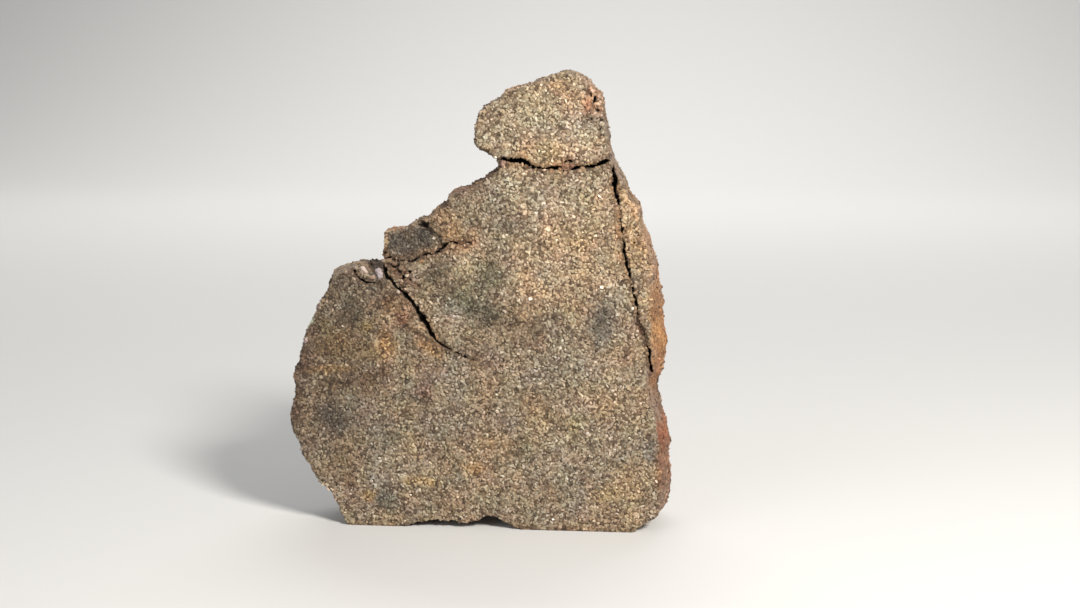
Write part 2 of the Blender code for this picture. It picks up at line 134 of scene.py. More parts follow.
# Cracks in the front face: depth, then points (x, z) along the line with the opening there
FRONT_CRACKS = {
    "cap crack at the notch": (1.2, [
        (0.42, 35.98, 0.14), (0.87, 35.71, 0.18), (1.42, 35.44, 0.14)]),
    "cap crack left": (5.0, [
        (1.6, 34.85, 0.14), (2.5, 34.9, 0.14), (3.05, 34.8, 0.22), (3.5, 34.8, 0.42), (4.15, 34.8, 0.42),
        (4.55, 34.7, 0.28), (5.0, 34.45, 0.24), (5.35, 34.2, 0.24), (5.8, 34.1, 0.15), (6.45, 34.1, 0.18),
        (7.0, 34.1, 0.22), (7.5, 34.1, 0.28), (7.9, 34.1, 0.12)]),
    "cap crack over the crumbs": (1.4, [
        (8.05, 34.45, 0.1), (8.45, 34.75, 0.18), (8.7, 34.8, 0.34), (9.0, 34.6, 0.16)]),
    "cap crack right": (5.0, [
        (8.0, 33.9, 0.08), (8.55, 33.75, 0.2), (9.0, 33.95, 0.15), (9.25, 34.2, 0.22), (9.8, 34.2, 0.17),
        (10.35, 34.3, 0.18), (10.9, 34.35, 0.2), (11.35, 34.55, 0.28), (11.8, 34.7, 0.34),
        (12.15, 34.75, 0.2), (12.7, 34.7, 0.18)]),
    "long crack upper": (3.6, [
        (12.3, 35.6, 0.12), (12.4, 35.0, 0.15), (12.5, 34.5, 0.28), (12.6, 33.95, 0.23), (12.7, 33.4, 0.42),
        (12.8, 32.85, 0.46), (12.85, 32.4, 0.28), (12.75, 32.05, 0.26), (12.95, 31.6, 0.32),
        (13.1, 31.15, 0.26), (13.2, 30.7, 0.12), (13.3, 29.4, 0.09), (13.45, 28.7, 0.15),
        (13.45, 27.8, 0.17), (13.65, 27.0, 0.22), (13.75, 26.1, 0.19), (13.95, 25.3, 0.26),
        (14.15, 24.7, 0.26), (14.25, 24.1, 0.13), (14.35, 23.5, 0.16), (14.55, 22.7, 0.22),
        (14.75, 22.1, 0.26), (14.85, 21.5, 0.28), (14.95, 21.0, 0.14), (15.05, 20.5, 0.05)]),
    "long crack lower": (3.0, [
        (15.85, 18.1, 0.06), (16.05, 17.5, 0.26), (16.05, 16.8, 0.27), (16.15, 16.1, 0.22),
        (16.35, 15.3, 0.18), (16.65, 14.6, 0.14), (17.35, 14.0, 0.1)]),
    "split crack": (5.2, [
        (-9.0, 26.0, 0.26), (-8.8, 25.45, 0.28), (-8.65, 25.0, 0.36), (-8.45, 24.45, 0.42),
        (-8.35, 24.05, 0.36), (-8.1, 23.8, 0.28), (-7.7, 23.4, 0.18), (-7.35, 23.05, 0.22),
        (-6.95, 22.65, 0.32), (-6.6, 22.3, 0.42), (-5.9, 21.5, 0.36), (-5.45, 20.7, 0.42),
        (-5.05, 20.1, 0.58), (-4.55, 19.5, 0.52), (-4.25, 18.8, 0.42), (-3.95, 18.3, 0.32),
        (-3.65, 17.9, 0.24), (-3.05, 17.5, 0.22), (-2.45, 17.2, 0.2), (-1.35, 16.7, 0.16),
        (-0.05, 16.2, 0.08)]),
    "split side crack": (1.0, [
        (-7.15, 20.1, 0.06), (-6.65, 19.5, 0.12), (-5.95, 19.1, 0.1), (-5.25, 18.6, 0.14),
        (-4.55, 18.1, 0.12), (-3.95, 17.75, 0.08)]),
    "block crack": (2.4, [
        (-8.9, 25.55, 0.14), (-8.35, 25.75, 0.18), (-8.05, 25.75, 0.26), (-7.7, 25.55, 0.18),
        (-7.3, 25.4, 0.23), (-6.75, 25.55, 0.1), (-6.2, 25.4, 0.17), (-5.8, 25.5, 0.12),
        (-5.5, 25.65, 0.23), (-5.15, 25.85, 0.18), (-4.75, 25.95, 0.26), (-4.4, 26.15, 0.15),
        (-4.0, 26.05, 0.13), (-3.65, 26.25, 0.28), (-3.35, 26.55, 0.32), (-3.0, 26.8, 0.28),
        (-2.6, 27.15, 0.22), (-2.35, 27.3, 0.18), (-1.85, 27.2, 0.18), (-1.4, 27.15, 0.12),
        (-0.85, 27.2, 0.14), (-0.2, 27.3, 0.08)]),
    "notch crack": (1.0, [
        (-8.6, 25.35, 0.15), (-8.15, 25.15, 0.18), (-7.7, 24.9, 0.18), (-7.4, 24.7, 0.22),
        (-7.15, 24.45, 0.28), (-6.85, 24.6, 0.14)]),
    "crack beside the split": (0.9, [
        (-6.85, 24.9, 0.1), (-6.65, 24.35, 0.18), (-6.55, 23.95, 0.14), (-6.2, 23.7, 0.22),
        (-5.85, 23.45, 0.15), (-5.45, 23.2, 0.2), (-5.1, 22.95, 0.1)]),
    "crack into the split": (0.9, [
        (-6.95, 23.25, 0.1), (-6.8, 22.95, 0.2), (-6.6, 22.6, 0.18), (-6.3, 22.2, 0.1)]),
    "hollow crack": (1.2, [
        (-4.6, 28.7, 0.2), (-4.35, 28.55, 0.18), (-4.1, 28.3, 0.22), (-3.8, 28.1, 0.16),
        (-3.45, 27.9, 0.12), (-3.0, 27.8, 0.08)]),
    "flake crack": (4.0, [
        (-11.95, 25.3, 0.08), (-11.75, 24.85, 0.12), (-11.45, 24.4, 0.18), (-11.1, 23.95, 0.17),
        (-10.75, 23.65, 0.17), (-10.25, 23.4, 0.19), (-9.8, 23.4, 0.15), (-9.3, 23.4, 0.11),
        (-8.9, 23.5, 0.06)]),
}

# Small pits where grains have fallen out: their depth, then the middle (x, z), half width and
# half height of each
PIT_DEPTH = 0.5
PITS = {
    "pit under cap crack": ((9.6, 32.1), 0.14, 0.16),
    "hollow by the block": ((-4.55, 28.9), 0.8, 0.4),
    "hollow by the block left": ((-5.3, 28.95), 0.75, 0.36),
    "notch pit high": ((-7.2, 25.1), 0.2, 0.14),
    "notch pit by the crack": ((-6.6, 25.15), 0.24, 0.12),
    "notch pit middle": ((-6.15, 24.45), 0.22, 0.17),
    "notch pit left": ((-7.95, 25.2), 0.22, 0.12),
    "notch pit low": ((-6.95, 23.9), 0.14, 0.2),
    "notch pit right": ((-5.7, 23.9), 0.15, 0.12),
    "brown hollow under the block": ((-8.5, 26.1), 0.3, 0.2),
    "notch pit": ((-7.15, 24.45), 0.26, 0.2),
    "block pit": ((-6.0, 26.05), 0.13, 0.15),
    "block crack pit": ((-3.3, 26.6), 0.22, 0.16),
    "slope pit": ((1.1, 32.25), 0.12, 0.12),
    "cap pit left": ((8.8, 35.8), 0.13, 0.11),
    "chamfer pit high": ((10.5, 40.65), 0.16, 0.3),
    "chamfer pit middle": ((11.15, 39.3), 0.2, 0.26),
    "chamfer pit low": ((11.45, 38.4), 0.16, 0.2),
    "chamfer pit right": ((11.7, 39.85), 0.13, 0.28),
    "chamfer pit top": ((9.9, 41.1), 0.2, 0.16),
    "chamfer pit left": ((10.1, 39.5), 0.17, 0.24),
    "chamfer pit foot": ((11.4, 37.6), 0.14, 0.18),
    "chamfer pit edge": ((10.6, 38.5), 0.15, 0.15),
    "upper body pit": ((3.05, 29.7), 0.15, 0.13),
    "sliver pit high": ((14.6, 27.35), 0.14, 0.13),
    "sliver pit low": ((15.2, 22.4), 0.13, 0.12),
    "ochre pit": ((-0.65, 26.1), 0.12, 0.12),
    "lobe pit": ((-13.4, 16.2), 0.12, 0.14),
    "low pit": ((4.4, 12.6), 0.12, 0.12),
    "low right pit": ((13.6, 6.2), 0.13, 0.12),
}

# Crumbs and knobs bigger than the common grains: middle (x, z), half length and half width,
# turn in degrees, colour
CRUMBS = {
    # Painted highlights: the first three are real lumps on the lobe's top, made pale and lavender where the
    # light catches them
    "white ridge on the lobe": ((-9.85, 25.05), (0.46, 0.22), -42, (0.5, 0.43, 0.41)),
    "grey knob on the lobe": ((-9.15, 24.5), (0.42, 0.34), -60, (0.37, 0.335, 0.365)),
    "grey knob below it": ((-8.95, 23.95), (0.32, 0.26), -70, (0.36, 0.33, 0.37)),
    "pink crumb on the flake": ((-9.7, 23.9), (0.26, 0.2), 10, (0.34, 0.25, 0.2)),
    "flake crumb left": ((-11.6, 24.95), (0.2, 0.14), 30, (0.34, 0.3, 0.26)),
    "flake crumb low": ((-11.4, 23.75), (0.22, 0.13), -35, (0.38, 0.32, 0.25)),
    "flake crumb middle": ((-10.75, 24.35), (0.24, 0.16), -50, (0.3, 0.23, 0.19)),
    "crumb on the lobe's edge": ((-9.5, 24.95), (0.24, 0.17), 10, (0.3, 0.25, 0.22)),
    "crumb on the lobe's top": ((-9.15, 25.2), (0.26, 0.18), -20, (0.24, 0.18, 0.14)),
    "crumb by the split's mouth": ((-8.85, 24.75), (0.2, 0.15), 40, (0.28, 0.22, 0.2)),
    "crumb above the flake": ((-10.6, 25.2), (0.25, 0.17), 20, (0.32, 0.27, 0.23)),
    "crumb on the lobe's shoulder": ((-11.3, 25.25), (0.22, 0.15), -10, (0.3, 0.24, 0.2)),
    "lobe edge crumb": ((-12.1, 24.4), (0.16, 0.13), 0, (0.42, 0.34, 0.28)),
    "crumb in the cap crack": ((2.6, 34.5), (0.3, 0.26), 80, (0.3, 0.2, 0.165)),
    "rusty crumb left": ((8.05, 34.35), (0.2, 0.15), 60, (0.24, 0.13, 0.08)),
    "rusty crumb middle": ((8.4, 34.25), (0.26, 0.2), -20, (0.3, 0.17, 0.11)),
    "rusty crumb right": ((8.85, 34.3), (0.2, 0.22), 70, (0.21, 0.11, 0.075)),
    "rusty crumb low": ((8.3, 33.95), (0.2, 0.11), 10, (0.26, 0.15, 0.1)),
    "notch crumb": ((-6.4, 24.1), (0.2, 0.16), 0, (0.5, 0.44, 0.35)),
    "notch crumb low": ((-6.9, 23.6), (0.18, 0.12), -40, (0.36, 0.27, 0.2)),
    "crumb left of the split": ((-7.25, 22.55), (0.2, 0.15), -50, (0.5, 0.42, 0.38)),
    "brown crumb in the notch": ((-7.6, 25.2), (0.22, 0.14), -30, (0.2, 0.13, 0.09)),
    "brown crumb by the block": ((-8.35, 25.95), (0.3, 0.18), 50, (0.16, 0.1, 0.065)),
    "ochre crumb": ((-5.0, 25.45), (0.24, 0.13), 20, (0.38, 0.22, 0.11)),
    # A real chip whose pale green colour is partly its painted glint
    "glassy chip on the left edge": ((-15.5, 19.55), (0.62, 0.2), 66, (0.42, 0.52, 0.4)),
    "pale crumb below the chip": ((-16.1, 17.9), (0.3, 0.16), 70, (0.4, 0.33, 0.34)),
    "purple crumb above the chip": ((-14.9, 21.1), (0.3, 0.16), 62, (0.17, 0.12, 0.13)),
    # Painted glint: a near white crumb where a glint shows by the long crack
    "glassy crumb by the long crack": ((14.5, 21.3), (0.15, 0.12), 70, (0.8, 0.78, 0.76)),
    "light crumb on the slope": ((-4.15, 29.6), (0.18, 0.12), 30, (0.5, 0.44, 0.36)),
}

# Cracks in the back face: three come through thinner from the front, and one crosses the lobe
BACK_CRACKS = {
    "cap crack back": (2.4, [
        (1.2, 34.9, 0.16), (3.0, 34.9, 0.2), (4.8, 34.5, 0.26), (6.6, 34.4, 0.18), (8.2, 34.5, 0.16),
        (9.8, 34.3, 0.2), (11.2, 34.6, 0.24), (12.7, 34.8, 0.2)]),
    "long crack back": (2.0, [
        (12.2, 35.4, 0.14), (12.4, 33.9, 0.2), (12.7, 32.2, 0.22), (12.9, 30.4, 0.14), (13.2, 28.6, 0.12),
        (13.4, 26.6, 0.16), (13.9, 24.8, 0.12), (14.3, 23.2, 0.05)]),
    "split crack back": (2.4, [
        (-9.3, 26.0, 0.3), (-8.7, 24.6, 0.26), (-7.9, 23.2, 0.2), (-7.1, 22.2, 0.22), (-6.2, 21.2, 0.2),
        (-5.6, 20.1, 0.14), (-4.7, 19.2, 0.06)]),
    "lobe crack back": (1.2, [
        (-16.1, 20.0, 0.12), (-15.1, 18.9, 0.16), (-14.2, 18.3, 0.12), (-13.0, 17.1, 0.1),
        (-12.3, 15.9, 0.05)]),
}

# Where the orange crust reaches right up to the sawn face: middle, half sizes, turn
CRUST = ((18.2, 11.0), (2.6, 15.0), 0)

# Fresh breaks in front that show the same grains as the sawn face: middle, half sizes, turn
FRESH_BREAKS = {
    "cap chamfer": ((11.0, 40.6), (2.0, 3.2), 0),
    "small block": ((-6.4, 27.4), (3.4, 2.2), 0),
    "flake": ((-10.6, 24.6), (3.0, 1.6), 0),
    "right corner": ((16.2, 0.9), (1.6, 1.4), 0),
}

# Colour of the sawn face before stains, linear
FACE_COLOUR = (0.258, 0.211, 0.152)

# Stains on the sawn front face: middle (x, z) and half sizes in millimetres, turn in degrees,
# then how much the stain changes the face's red, green and blue, and how strong it is
FRONT_STAINS = {
    # The first stains are partly painted light and shade: the cap, the upper body with its whiter sheen and
    # the right side are painted lighter where the light falls, and the left lobe, its margin and its top are
    # painted darker, as if in shade
    "light cap": ((5.5, 38.0), (6.8, 4.4), 0, (1.31, 1.29, 1.25), 1.0),
    "light upper body": ((8.0, 28.5), (8.5, 8.0), 20, (1.26, 1.25, 1.22), 1.0),
    "light right side": ((14.5, 10.0), (4.0, 9.0), 0, (1.12, 1.09, 1.05), 0.8),
    "brown left lobe": ((-14.0, 14.5), (8.5, 12.0), -6, (0.66, 0.63, 0.61), 1.0),
    "brown left margin": ((-17.0, 15.5), (1.8, 8.0), -10, (0.52, 0.43, 0.41), 0.9),
    "dark lobe top": ((-11.3, 22.2), (4.6, 3.4), 0, (0.64, 0.63, 0.62), 1.0),
    "shade on the lobe": ((-12.3, 20.6), (1.4, 2.6), 10, (0.74, 0.74, 0.76), 0.85),
    "orange cap peak": ((8.6, 41.3), (2.2, 1.3), -25, (1.14, 1.0, 0.84), 0.8),
    "rusty cap chamfer": ((10.9, 40.0), (1.0, 2.8), 14, (0.96, 0.76, 0.68), 0.85),
    "red spot on the chamfer": ((10.2, 39.4), (0.5, 1.0), 0, (0.86, 0.6, 0.5), 0.9),
    "pink edge of the chamfer": ((11.7, 39.0), (0.5, 2.4), 10, (1.4, 1.3, 1.3), 0.8),
    "greenish cap": ((5.0, 39.0), (2.2, 1.4), 0, (0.94, 1.0, 0.94), 0.8),
    "tan cap foot": ((6.5, 35.7), (4.6, 0.9), 0, (1.03, 1.0, 0.94), 0.7),
    "grey under cap": ((4.3, 31.6), (3.4, 1.8), 10, (0.92, 0.97, 1.02), 0.8),
    "blue-grey spot left": ((3.0, 29.0), (1.9, 1.3), 0, (0.54, 0.58, 0.64), 0.95),
    "pale patch under cap": ((2.8, 33.1), (1.8, 1.5), 0, (1.2, 1.18, 1.12), 0.8),
    "pale spot high": ((6.5, 28.3), (1.1, 1.1), 0, (1.26, 1.22, 1.16), 0.8),
    "light right of middle": ((8.5, 26.0), (3.6, 3.6), 0, (1.12, 1.09, 1.07), 0.8),
    "blue-grey spot middle": ((8.6, 28.6), (1.3, 0.9), 20, (0.82, 0.86, 0.9), 0.8),
    "warm right of cap crack": ((11.6, 29.5), (1.9, 3.0), 0, (1.06, 0.98, 0.88), 0.7),
    "orange right of block": ((-0.9, 27.9), (1.9, 1.0), 16, (1.1, 0.93, 0.74), 0.9),
    "rust under block crack": ((-1.8, 26.8), (1.8, 0.7), 10, (0.94, 0.76, 0.66), 0.8),
    "ochre above block": ((-2.6, 28.9), (1.6, 1.2), 30, (1.12, 0.98, 0.76), 0.7),
    "grey block": ((-6.2, 27.3), (3.3, 2.0), 5, (0.28, 0.3, 0.35), 1.0),
    "brown corner of the block": ((-8.6, 26.1), (0.8, 0.6), 0, (0.5, 0.36, 0.28), 0.95),
    "tan left edge of the block": ((-8.6, 27.3), (0.45, 1.9), 0, (2.0, 1.7, 1.3), 0.9),
    "brown block lip": ((-5.2, 26.2), (3.2, 0.4), 12, (0.85, 0.66, 0.52), 0.8),
    "dark right of the notch": ((-3.5, 24.5), (1.6, 1.5), 0, (0.48, 0.48, 0.46), 0.95),
    "light green right of split": ((-1.3, 24.3), (1.3, 1.3), 0, (1.56, 1.58, 1.52), 0.95),
    "olive shade": ((1.5, 24.4), (1.9, 1.6), 0, (0.66, 0.68, 0.6), 0.9),
    "dark band right of split": ((1.4, 20.3), (4.8, 1.3), -17, (0.68, 0.69, 0.69), 0.9),
    "dark end of the band": ((5.5, 19.6), (1.1, 1.1), 0, (0.78, 0.78, 0.8), 0.8),
    "grey right of split": ((-0.8, 22.6), (4.6, 3.0), -32, (0.68, 0.71, 0.68), 0.95),
    "soft brown middle": ((2.5, 18.5), (5.0, 3.6), 0, (0.84, 0.83, 0.82), 0.9),
    "soft brown centre": ((-2.0, 10.8), (5.0, 3.0), 0, (0.84, 0.83, 0.84), 0.9),
    # Partly painted light on the cap's right, where the light falls
    "light cap right": ((9.8, 38.2), (2.6, 4.2), 0, (1.16, 1.16, 1.2), 0.9),
    "dark rust notch": ((-7.0, 24.2), (2.0, 0.9), -42, (0.66, 0.5, 0.42), 0.9),
    "pale patch": ((5.0, 23.5), (1.6, 1.5), 0, (1.38, 1.28, 1.18), 0.9),
    "mauve below split": ((1.4, 16.3), (1.9, 1.2), -10, (0.94, 0.84, 0.84), 0.8),
    "dark blue-grey right": ((11.7, 19.4), (1.5, 3.2), -10, (0.6, 0.63, 0.69), 0.95),
    "warm middle": ((8.2, 22.5), (2.4, 2.2), 0, (1.08, 1.0, 0.92), 0.7),
    "orange streak": ((-8.4, 17.9), (1.1, 3.2), 0, (1.3, 1.02, 0.7), 0.85),
    "yellow spot on the lobe": ((-10.3, 19.2), (0.9, 0.7), 0, (1.26, 1.12, 0.7), 0.8),
    "ochre band on the lobe": ((-14.0, 15.1), (2.8, 0.6), 4, (1.34, 1.08, 0.74), 0.85),
    "mauve left of split": ((-6.8, 19.9), (0.9, 0.8), 0, (1.1, 0.92, 0.96), 0.8),
    "ochre below the split": ((-4.4, 17.2), (1.6, 0.5), -30, (1.16, 0.92, 0.62), 0.8),
    "light patch in the orange": ((-9.0, 17.3), (1.6, 1.6), 0, (1.2, 1.06, 0.76), 0.85),
    "rust left of split": ((-7.3, 21.4), (1.1, 2.8), 38, (0.98, 0.82, 0.72), 0.8),
    "ochre left lobe": ((-13.0, 17.6), (3.2, 3.0), 0, (1.06, 0.94, 0.72), 0.8),
    "dark band left": ((-11.6, 14.2), (4.8, 0.8), 8, (0.68, 0.58, 0.52), 0.9),
    "grey patch left": ((-12.1, 12.4), (1.6, 1.2), -20, (1.14, 1.24, 1.36), 0.8),
    "dark blotch left": ((-13.7, 10.4), (2.6, 1.3), -34, (0.52, 0.54, 0.62), 0.95),
    "mauve middle": ((-4.3, 15.0), (2.2, 1.4), 10, (0.88, 0.8, 0.84), 0.8),
    "shade by the mauve": ((-5.7, 12.6), (1.5, 1.5), 0, (0.78, 0.74, 0.74), 0.8),
    "dark foot of the split": ((-6.7, 19.1), (0.7, 1.5), 20, (0.68, 0.62, 0.6), 0.8),
    "light patch low": ((2.9, 8.3), (1.3, 1.3), 0, (1.26, 1.2, 1.14), 0.8),
    "light patch low left": ((-5.8, 8.3), (1.2, 1.2), 0, (1.18, 1.14, 1.06), 0.7),
    "red-mauve middle": ((-4.9, 13.2), (1.0, 1.0), 0, (0.96, 0.74, 0.74), 0.7),
    "grey centre": ((-7.0, 9.4), (4.0, 2.0), 15, (0.88, 0.92, 0.94), 0.7),
    "tan centre low": ((2.3, 6.8), (2.6, 2.0), 0, (1.08, 1.0, 0.88), 0.7),
    "greenish low": ((4.9, 7.9), (1.0, 1.4), -20, (0.92, 1.02, 0.9), 0.8),
    "olive right": ((9.2, 9.9), (1.0, 1.8), -25, (0.96, 0.98, 0.76), 0.8),
    "warm right middle": ((11.7, 13.0), (1.9, 2.6), 0, (1.12, 1.0, 0.82), 0.7),
    "ochre low middle": ((-0.4, 5.8), (1.7, 0.8), -10, (1.24, 0.98, 0.66), 0.8),
    "ochre low": ((-5.4, 4.5), (2.0, 0.5), -6, (1.26, 1.04, 0.66), 0.8),
    "ochre spot low left": ((-10.3, 2.9), (0.7, 0.7), 0, (1.4, 1.1, 0.62), 0.9),
    "blue-grey low left": ((-8.5, 2.5), (2.0, 1.0), -12, (0.64, 0.7, 0.8), 0.9),
    "purple left foot": ((-12.3, 3.0), (0.8, 2.0), 30, (0.86, 0.76, 0.86), 0.7),
    "yellow low right": ((13.2, 3.9), (2.6, 1.8), 8, (1.1, 1.03, 0.84), 0.8),
    "mauve low right": ((9.3, 1.9), (1.9, 1.1), 0, (0.9, 0.84, 0.92), 0.6),
    "blue-grey right edge": ((16.3, 7.8), (0.8, 1.9), 0, (0.6, 0.66, 0.78), 0.9),
    "tan sliver": ((15.2, 26.8), (1.9, 7.4), 10, (1.34, 1.2, 1.03), 0.95),
    "rust beside long crack": ((12.9, 30.6), (0.35, 5.0), 4, (1.0, 0.76, 0.6), 0.7),
    "earth in long crack": ((15.35, 19.3), (0.5, 1.7), 22, (0.34, 0.23, 0.17), 1.0),
    "orange right edge": ((16.5, 20.8), (0.6, 4.8), 2, (1.12, 0.76, 0.46), 0.9),
    "rusty right edge low": ((17.4, 8.0), (0.6, 7.0), -2, (1.05, 0.72, 0.54), 0.8),
    "brown foot line": ((1.0, 0.2), (17.0, 0.6), 0, (0.86, 0.76, 0.68), 0.8),
    "brown over cap crack": ((6.5, 34.3), (5.8, 0.4), 0, (0.9, 0.8, 0.7), 0.8),
    "brown along slope": ((-1.5, 31.8), (4.8, 0.8), 40, (0.92, 0.76, 0.7), 0.7),
    "pink lump on the sliver": ((14.6, 30.4), (0.5, 1.1), 10, (1.2, 1.0, 0.9), 0.8),
}

# The back face has a few broad stains of the same kinds
BACK_STAINS = {
    "light top": ((7.0, 33.0), (7.0, 11.0), 8, (1.18, 1.16, 1.12), 1.0),
    "brown left lobe": ((-14.0, 13.0), (6.0, 11.0), 0, (0.74, 0.68, 0.64), 1.0),
    "ochre band": ((-1.0, 22.0), (7.5, 1.6), 24, (1.12, 0.95, 0.72), 0.8),
    "ochre patch": ((8.5, 7.0), (3.0, 1.8), -15, (1.14, 0.98, 0.72), 0.7),
    "blue-grey patch": ((3.5, 13.0), (3.8, 2.4), 10, (0.8, 0.84, 0.9), 0.9),
    "grey patch": ((-7.0, 5.0), (3.2, 1.8), -8, (0.82, 0.86, 0.9), 0.8),
    "dark patch": ((9.5, 24.5), (1.6, 2.6), 14, (0.72, 0.74, 0.8), 0.8),
    "rust along edge": ((17.0, 12.0), (1.0, 9.0), 0, (1.05, 0.74, 0.5), 0.9),
    "rust by split": ((-7.6, 22.8), (1.2, 2.6), 35, (0.96, 0.74, 0.58), 0.8),
    "mauve patch": ((-3.0, 12.0), (2.2, 1.6), 0, (0.9, 0.82, 0.84), 0.7),
}

# Brown edge that weathering left along each crack
CRACK_MARGIN = (0.7, 0.6, 0.52)

# Hue of single grains, from plain to ochre, mauve, greenish and rusty
GRAIN_HUES = [
    (0.0, (1.0, 1.0, 1.0)),
    (0.3, (1.0, 1.0, 1.0)),
    (0.45, (1.06, 0.99, 0.88)),
    (0.58, (1.0, 0.98, 1.04)),
    (0.78, (0.96, 1.02, 1.03)),
    (0.92, (1.05, 0.95, 0.92)),
    (1.0, (1.0, 1.0, 1.0)),
]

# Tones of single grains, of the grit between them and of the rim's skin, each from dark to light
GRAIN_TONES_AND_GLINTS = [
    (0.0, (0.28, 0.23, 0.19)),
    (0.14, (0.62, 0.54, 0.47)),
    (0.32, (0.95, 0.89, 0.82)),
    (0.58, (1.18, 1.15, 1.09)),
    (0.84, (1.34, 1.34, 1.31)),
    # The near white top of the tones paints glints on the lightest grains
    (0.96, (1.6, 1.62, 1.64)),
    (1.0, (2.1, 2.2, 2.3)),
]
GRIT_TONES = [
    (0.0, (0.25, 0.2, 0.16)),
    (0.2, (0.55, 0.48, 0.42)),
    (0.45, (0.88, 0.83, 0.77)),
    (0.8, (1.15, 1.13, 1.08)),
    (1.0, (1.45, 1.46, 1.48)),
]
RIM_TONES = [(0.28, (0.45, 0.4, 0.36)), (0.5, (0.95, 0.93, 0.9)), (0.72, (1.6, 1.6, 1.6))]
# Near black colour of the painted shade in cracks, pits and under ledges
PAINTED_SHADE_COLOUR = (0.035, 0.024, 0.017, 1.0)
# How often the hues go round while the tone goes from 0 to 1
HUE_ROUNDS = 37.0

# Weathered rim: its colour, and stains along the outline with the same numbers
RIM_COLOUR = (0.185, 0.138, 0.1)
RIM_STAINS = {
    "orange bulge": ((17.2, 19.2), (2.6, 6.4), 0, (1.24, 0.88, 0.6), 1.0),
    "rusty right edge": ((17.8, 8.0), (2.4, 6.6), 0, (0.96, 0.7, 0.6), 0.9),
    # Painted light: the cap's top, which faces up, is painted lighter
    "light cap top": ((6.0, 42.0), (7.0, 3.0), 10, (1.5, 1.5, 1.5), 0.8),
    "mauve cap left": ((0.0, 37.5), (1.8, 3.4), 0, (1.0, 0.96, 1.12), 0.8),
    "brown slope": ((-2.0, 31.0), (5.0, 2.6), 25, (0.95, 0.82, 0.74), 0.8),
    "brown block edge": ((-8.4, 27.2), (1.4, 2.4), 0, (1.1, 0.86, 0.68), 0.9),
    # Painted light and shade: the lobe's top, which faces up, is painted lighter, and the left flank darker,
    # as if in shade
    "grey lobe top": ((-12.5, 25.2), (2.8, 1.2), 0, (1.2, 1.2, 1.2), 0.9),
    "dark left flank": ((-17.5, 12.0), (2.6, 9.0), 0, (0.72, 0.68, 0.72), 0.8),
    "tan sliver edge": ((16.0, 28.5), (1.4, 5.0), 12, (1.4, 1.16, 0.96), 0.8),
}

# Patches on the front part of the rim, and others on the hind part
FRONT_RIM_STAINS = {
    "yellow bulge middle": ((17.4, 18.0), (1.4, 1.9), 0, (1.24, 1.28, 1.1), 0.9),
    "reddest patch": ((17.8, 9.6), (1.6, 2.1), 0, (1.28, 0.82, 0.66), 0.9),
    # Painted glint: the chip's greenish white brightness
    "glassy chip with painted glint on left flank": ((-15.9, 19.3), (0.5, 1.1), -20, (2.4, 3.0, 2.6), 1.0),
}
HIND_RIM_STAINS = {
    "dark patch right": ((17.2, 14.0), (3.0, 2.6), 0, (0.66, 0.62, 0.62), 0.9),
    "ochre patch right": ((15.5, 24.5), (3.0, 2.0), 0, (1.24, 0.94, 0.66), 0.8),
    "rusty patch low right": ((17.8, 5.5), (2.6, 2.2), 0, (1.2, 0.86, 0.7), 0.8),
    "rusty patch left": ((-16.8, 9.0), (2.4, 2.4), 0, (1.3, 0.92, 0.7), 0.8),
    "pale patch left": ((-15.2, 20.5), (2.6, 2.2), 0, (1.3, 1.26, 1.2), 0.8),
    "dark slope": ((-0.5, 32.0), (2.4, 1.6), 40, (0.66, 0.62, 0.62), 0.8),
    "ochre cap side": ((0.0, 38.0), (2.0, 2.0), 0, (1.26, 1.0, 0.76), 0.8),
}

# Studio, in metres
FLOOR_SIZE = 2.4
WALL_HEIGHT = 1.6
WALL_BEND = 0.7
STONE_MIDDLE = (0.0, 0.0, 0.021)

# Lights: place, what they point at, size, power and colour
LIGHTS = {
    "key": ((0.13, -0.15, 0.16), STONE_MIDDLE, 0.06, 0.88, (1.0, 0.96, 0.9)),
    "fill": ((-0.25, -0.25, 0.16), STONE_MIDDLE, 0.3, 0.35, (0.92, 0.96, 1.0)),
    "back_light": ((0.0, 0.45, 0.5), (0.0, 0.7, 0.0), 0.6, 4.0, (1.0, 0.99, 0.97)),
}

# Camera: place, degrees that it looks down and turns left, and focal length in millimetres
CAMERA_PLACE = (0.01713, -0.12870, 0.03986)
CAMERA_DOWN = 8.31
CAMERA_LEFT = 5.12
CAMERA_LENS = 45.67


def deselect_all():
    bpy.ops.object.select_all(action="DESELECT")


def make_active(obj):
    deselect_all()
    obj.select_set(True)
    bpy.context.view_layer.objects.active = obj


def apply_modifier(obj, name):
    make_active(obj)
    bpy.ops.object.modifier_apply(modifier=name)


@contextmanager
def edit_mode():
    bpy.ops.object.mode_set(mode="EDIT")
    yield
    bpy.ops.object.mode_set(mode="OBJECT")


def points_of(mesh):
    places = np.empty(len(mesh.vertices) * 3)
    mesh.vertices.foreach_get("co", places)
    return places.reshape(-1, 3)


def normals_of(mesh):
    normals = np.empty(len(mesh.vertices) * 3)
    mesh.vertex_normals.foreach_get("vector", normals)
    return normals.reshape(-1, 3)


def keep_values(mesh, name, values):
    """Stores one number or one colour for every point of the mesh."""
    values = np.asarray(values, np.float32)
    if values.ndim == 1:
        attribute = mesh.attributes.new(name, "FLOAT", "POINT")
        attribute.data.foreach_set("value", values)
        return
    attribute = mesh.attributes.new(name, "FLOAT_COLOR", "POINT")
    colours = np.ones((len(values), 4), np.float32)
    colours[:, :3] = values
    attribute.data.foreach_set("color", colours.ravel())


def read_values(mesh, name):
    values = np.empty(len(mesh.vertices), np.float32)
    mesh.attributes[name].data.foreach_get("value", values)
    return values


def smooth_step(values, start, end):
    share = np.clip((values - start) / (end - start), 0.0, 1.0)
    return share * share * (3.0 - 2.0 * share)


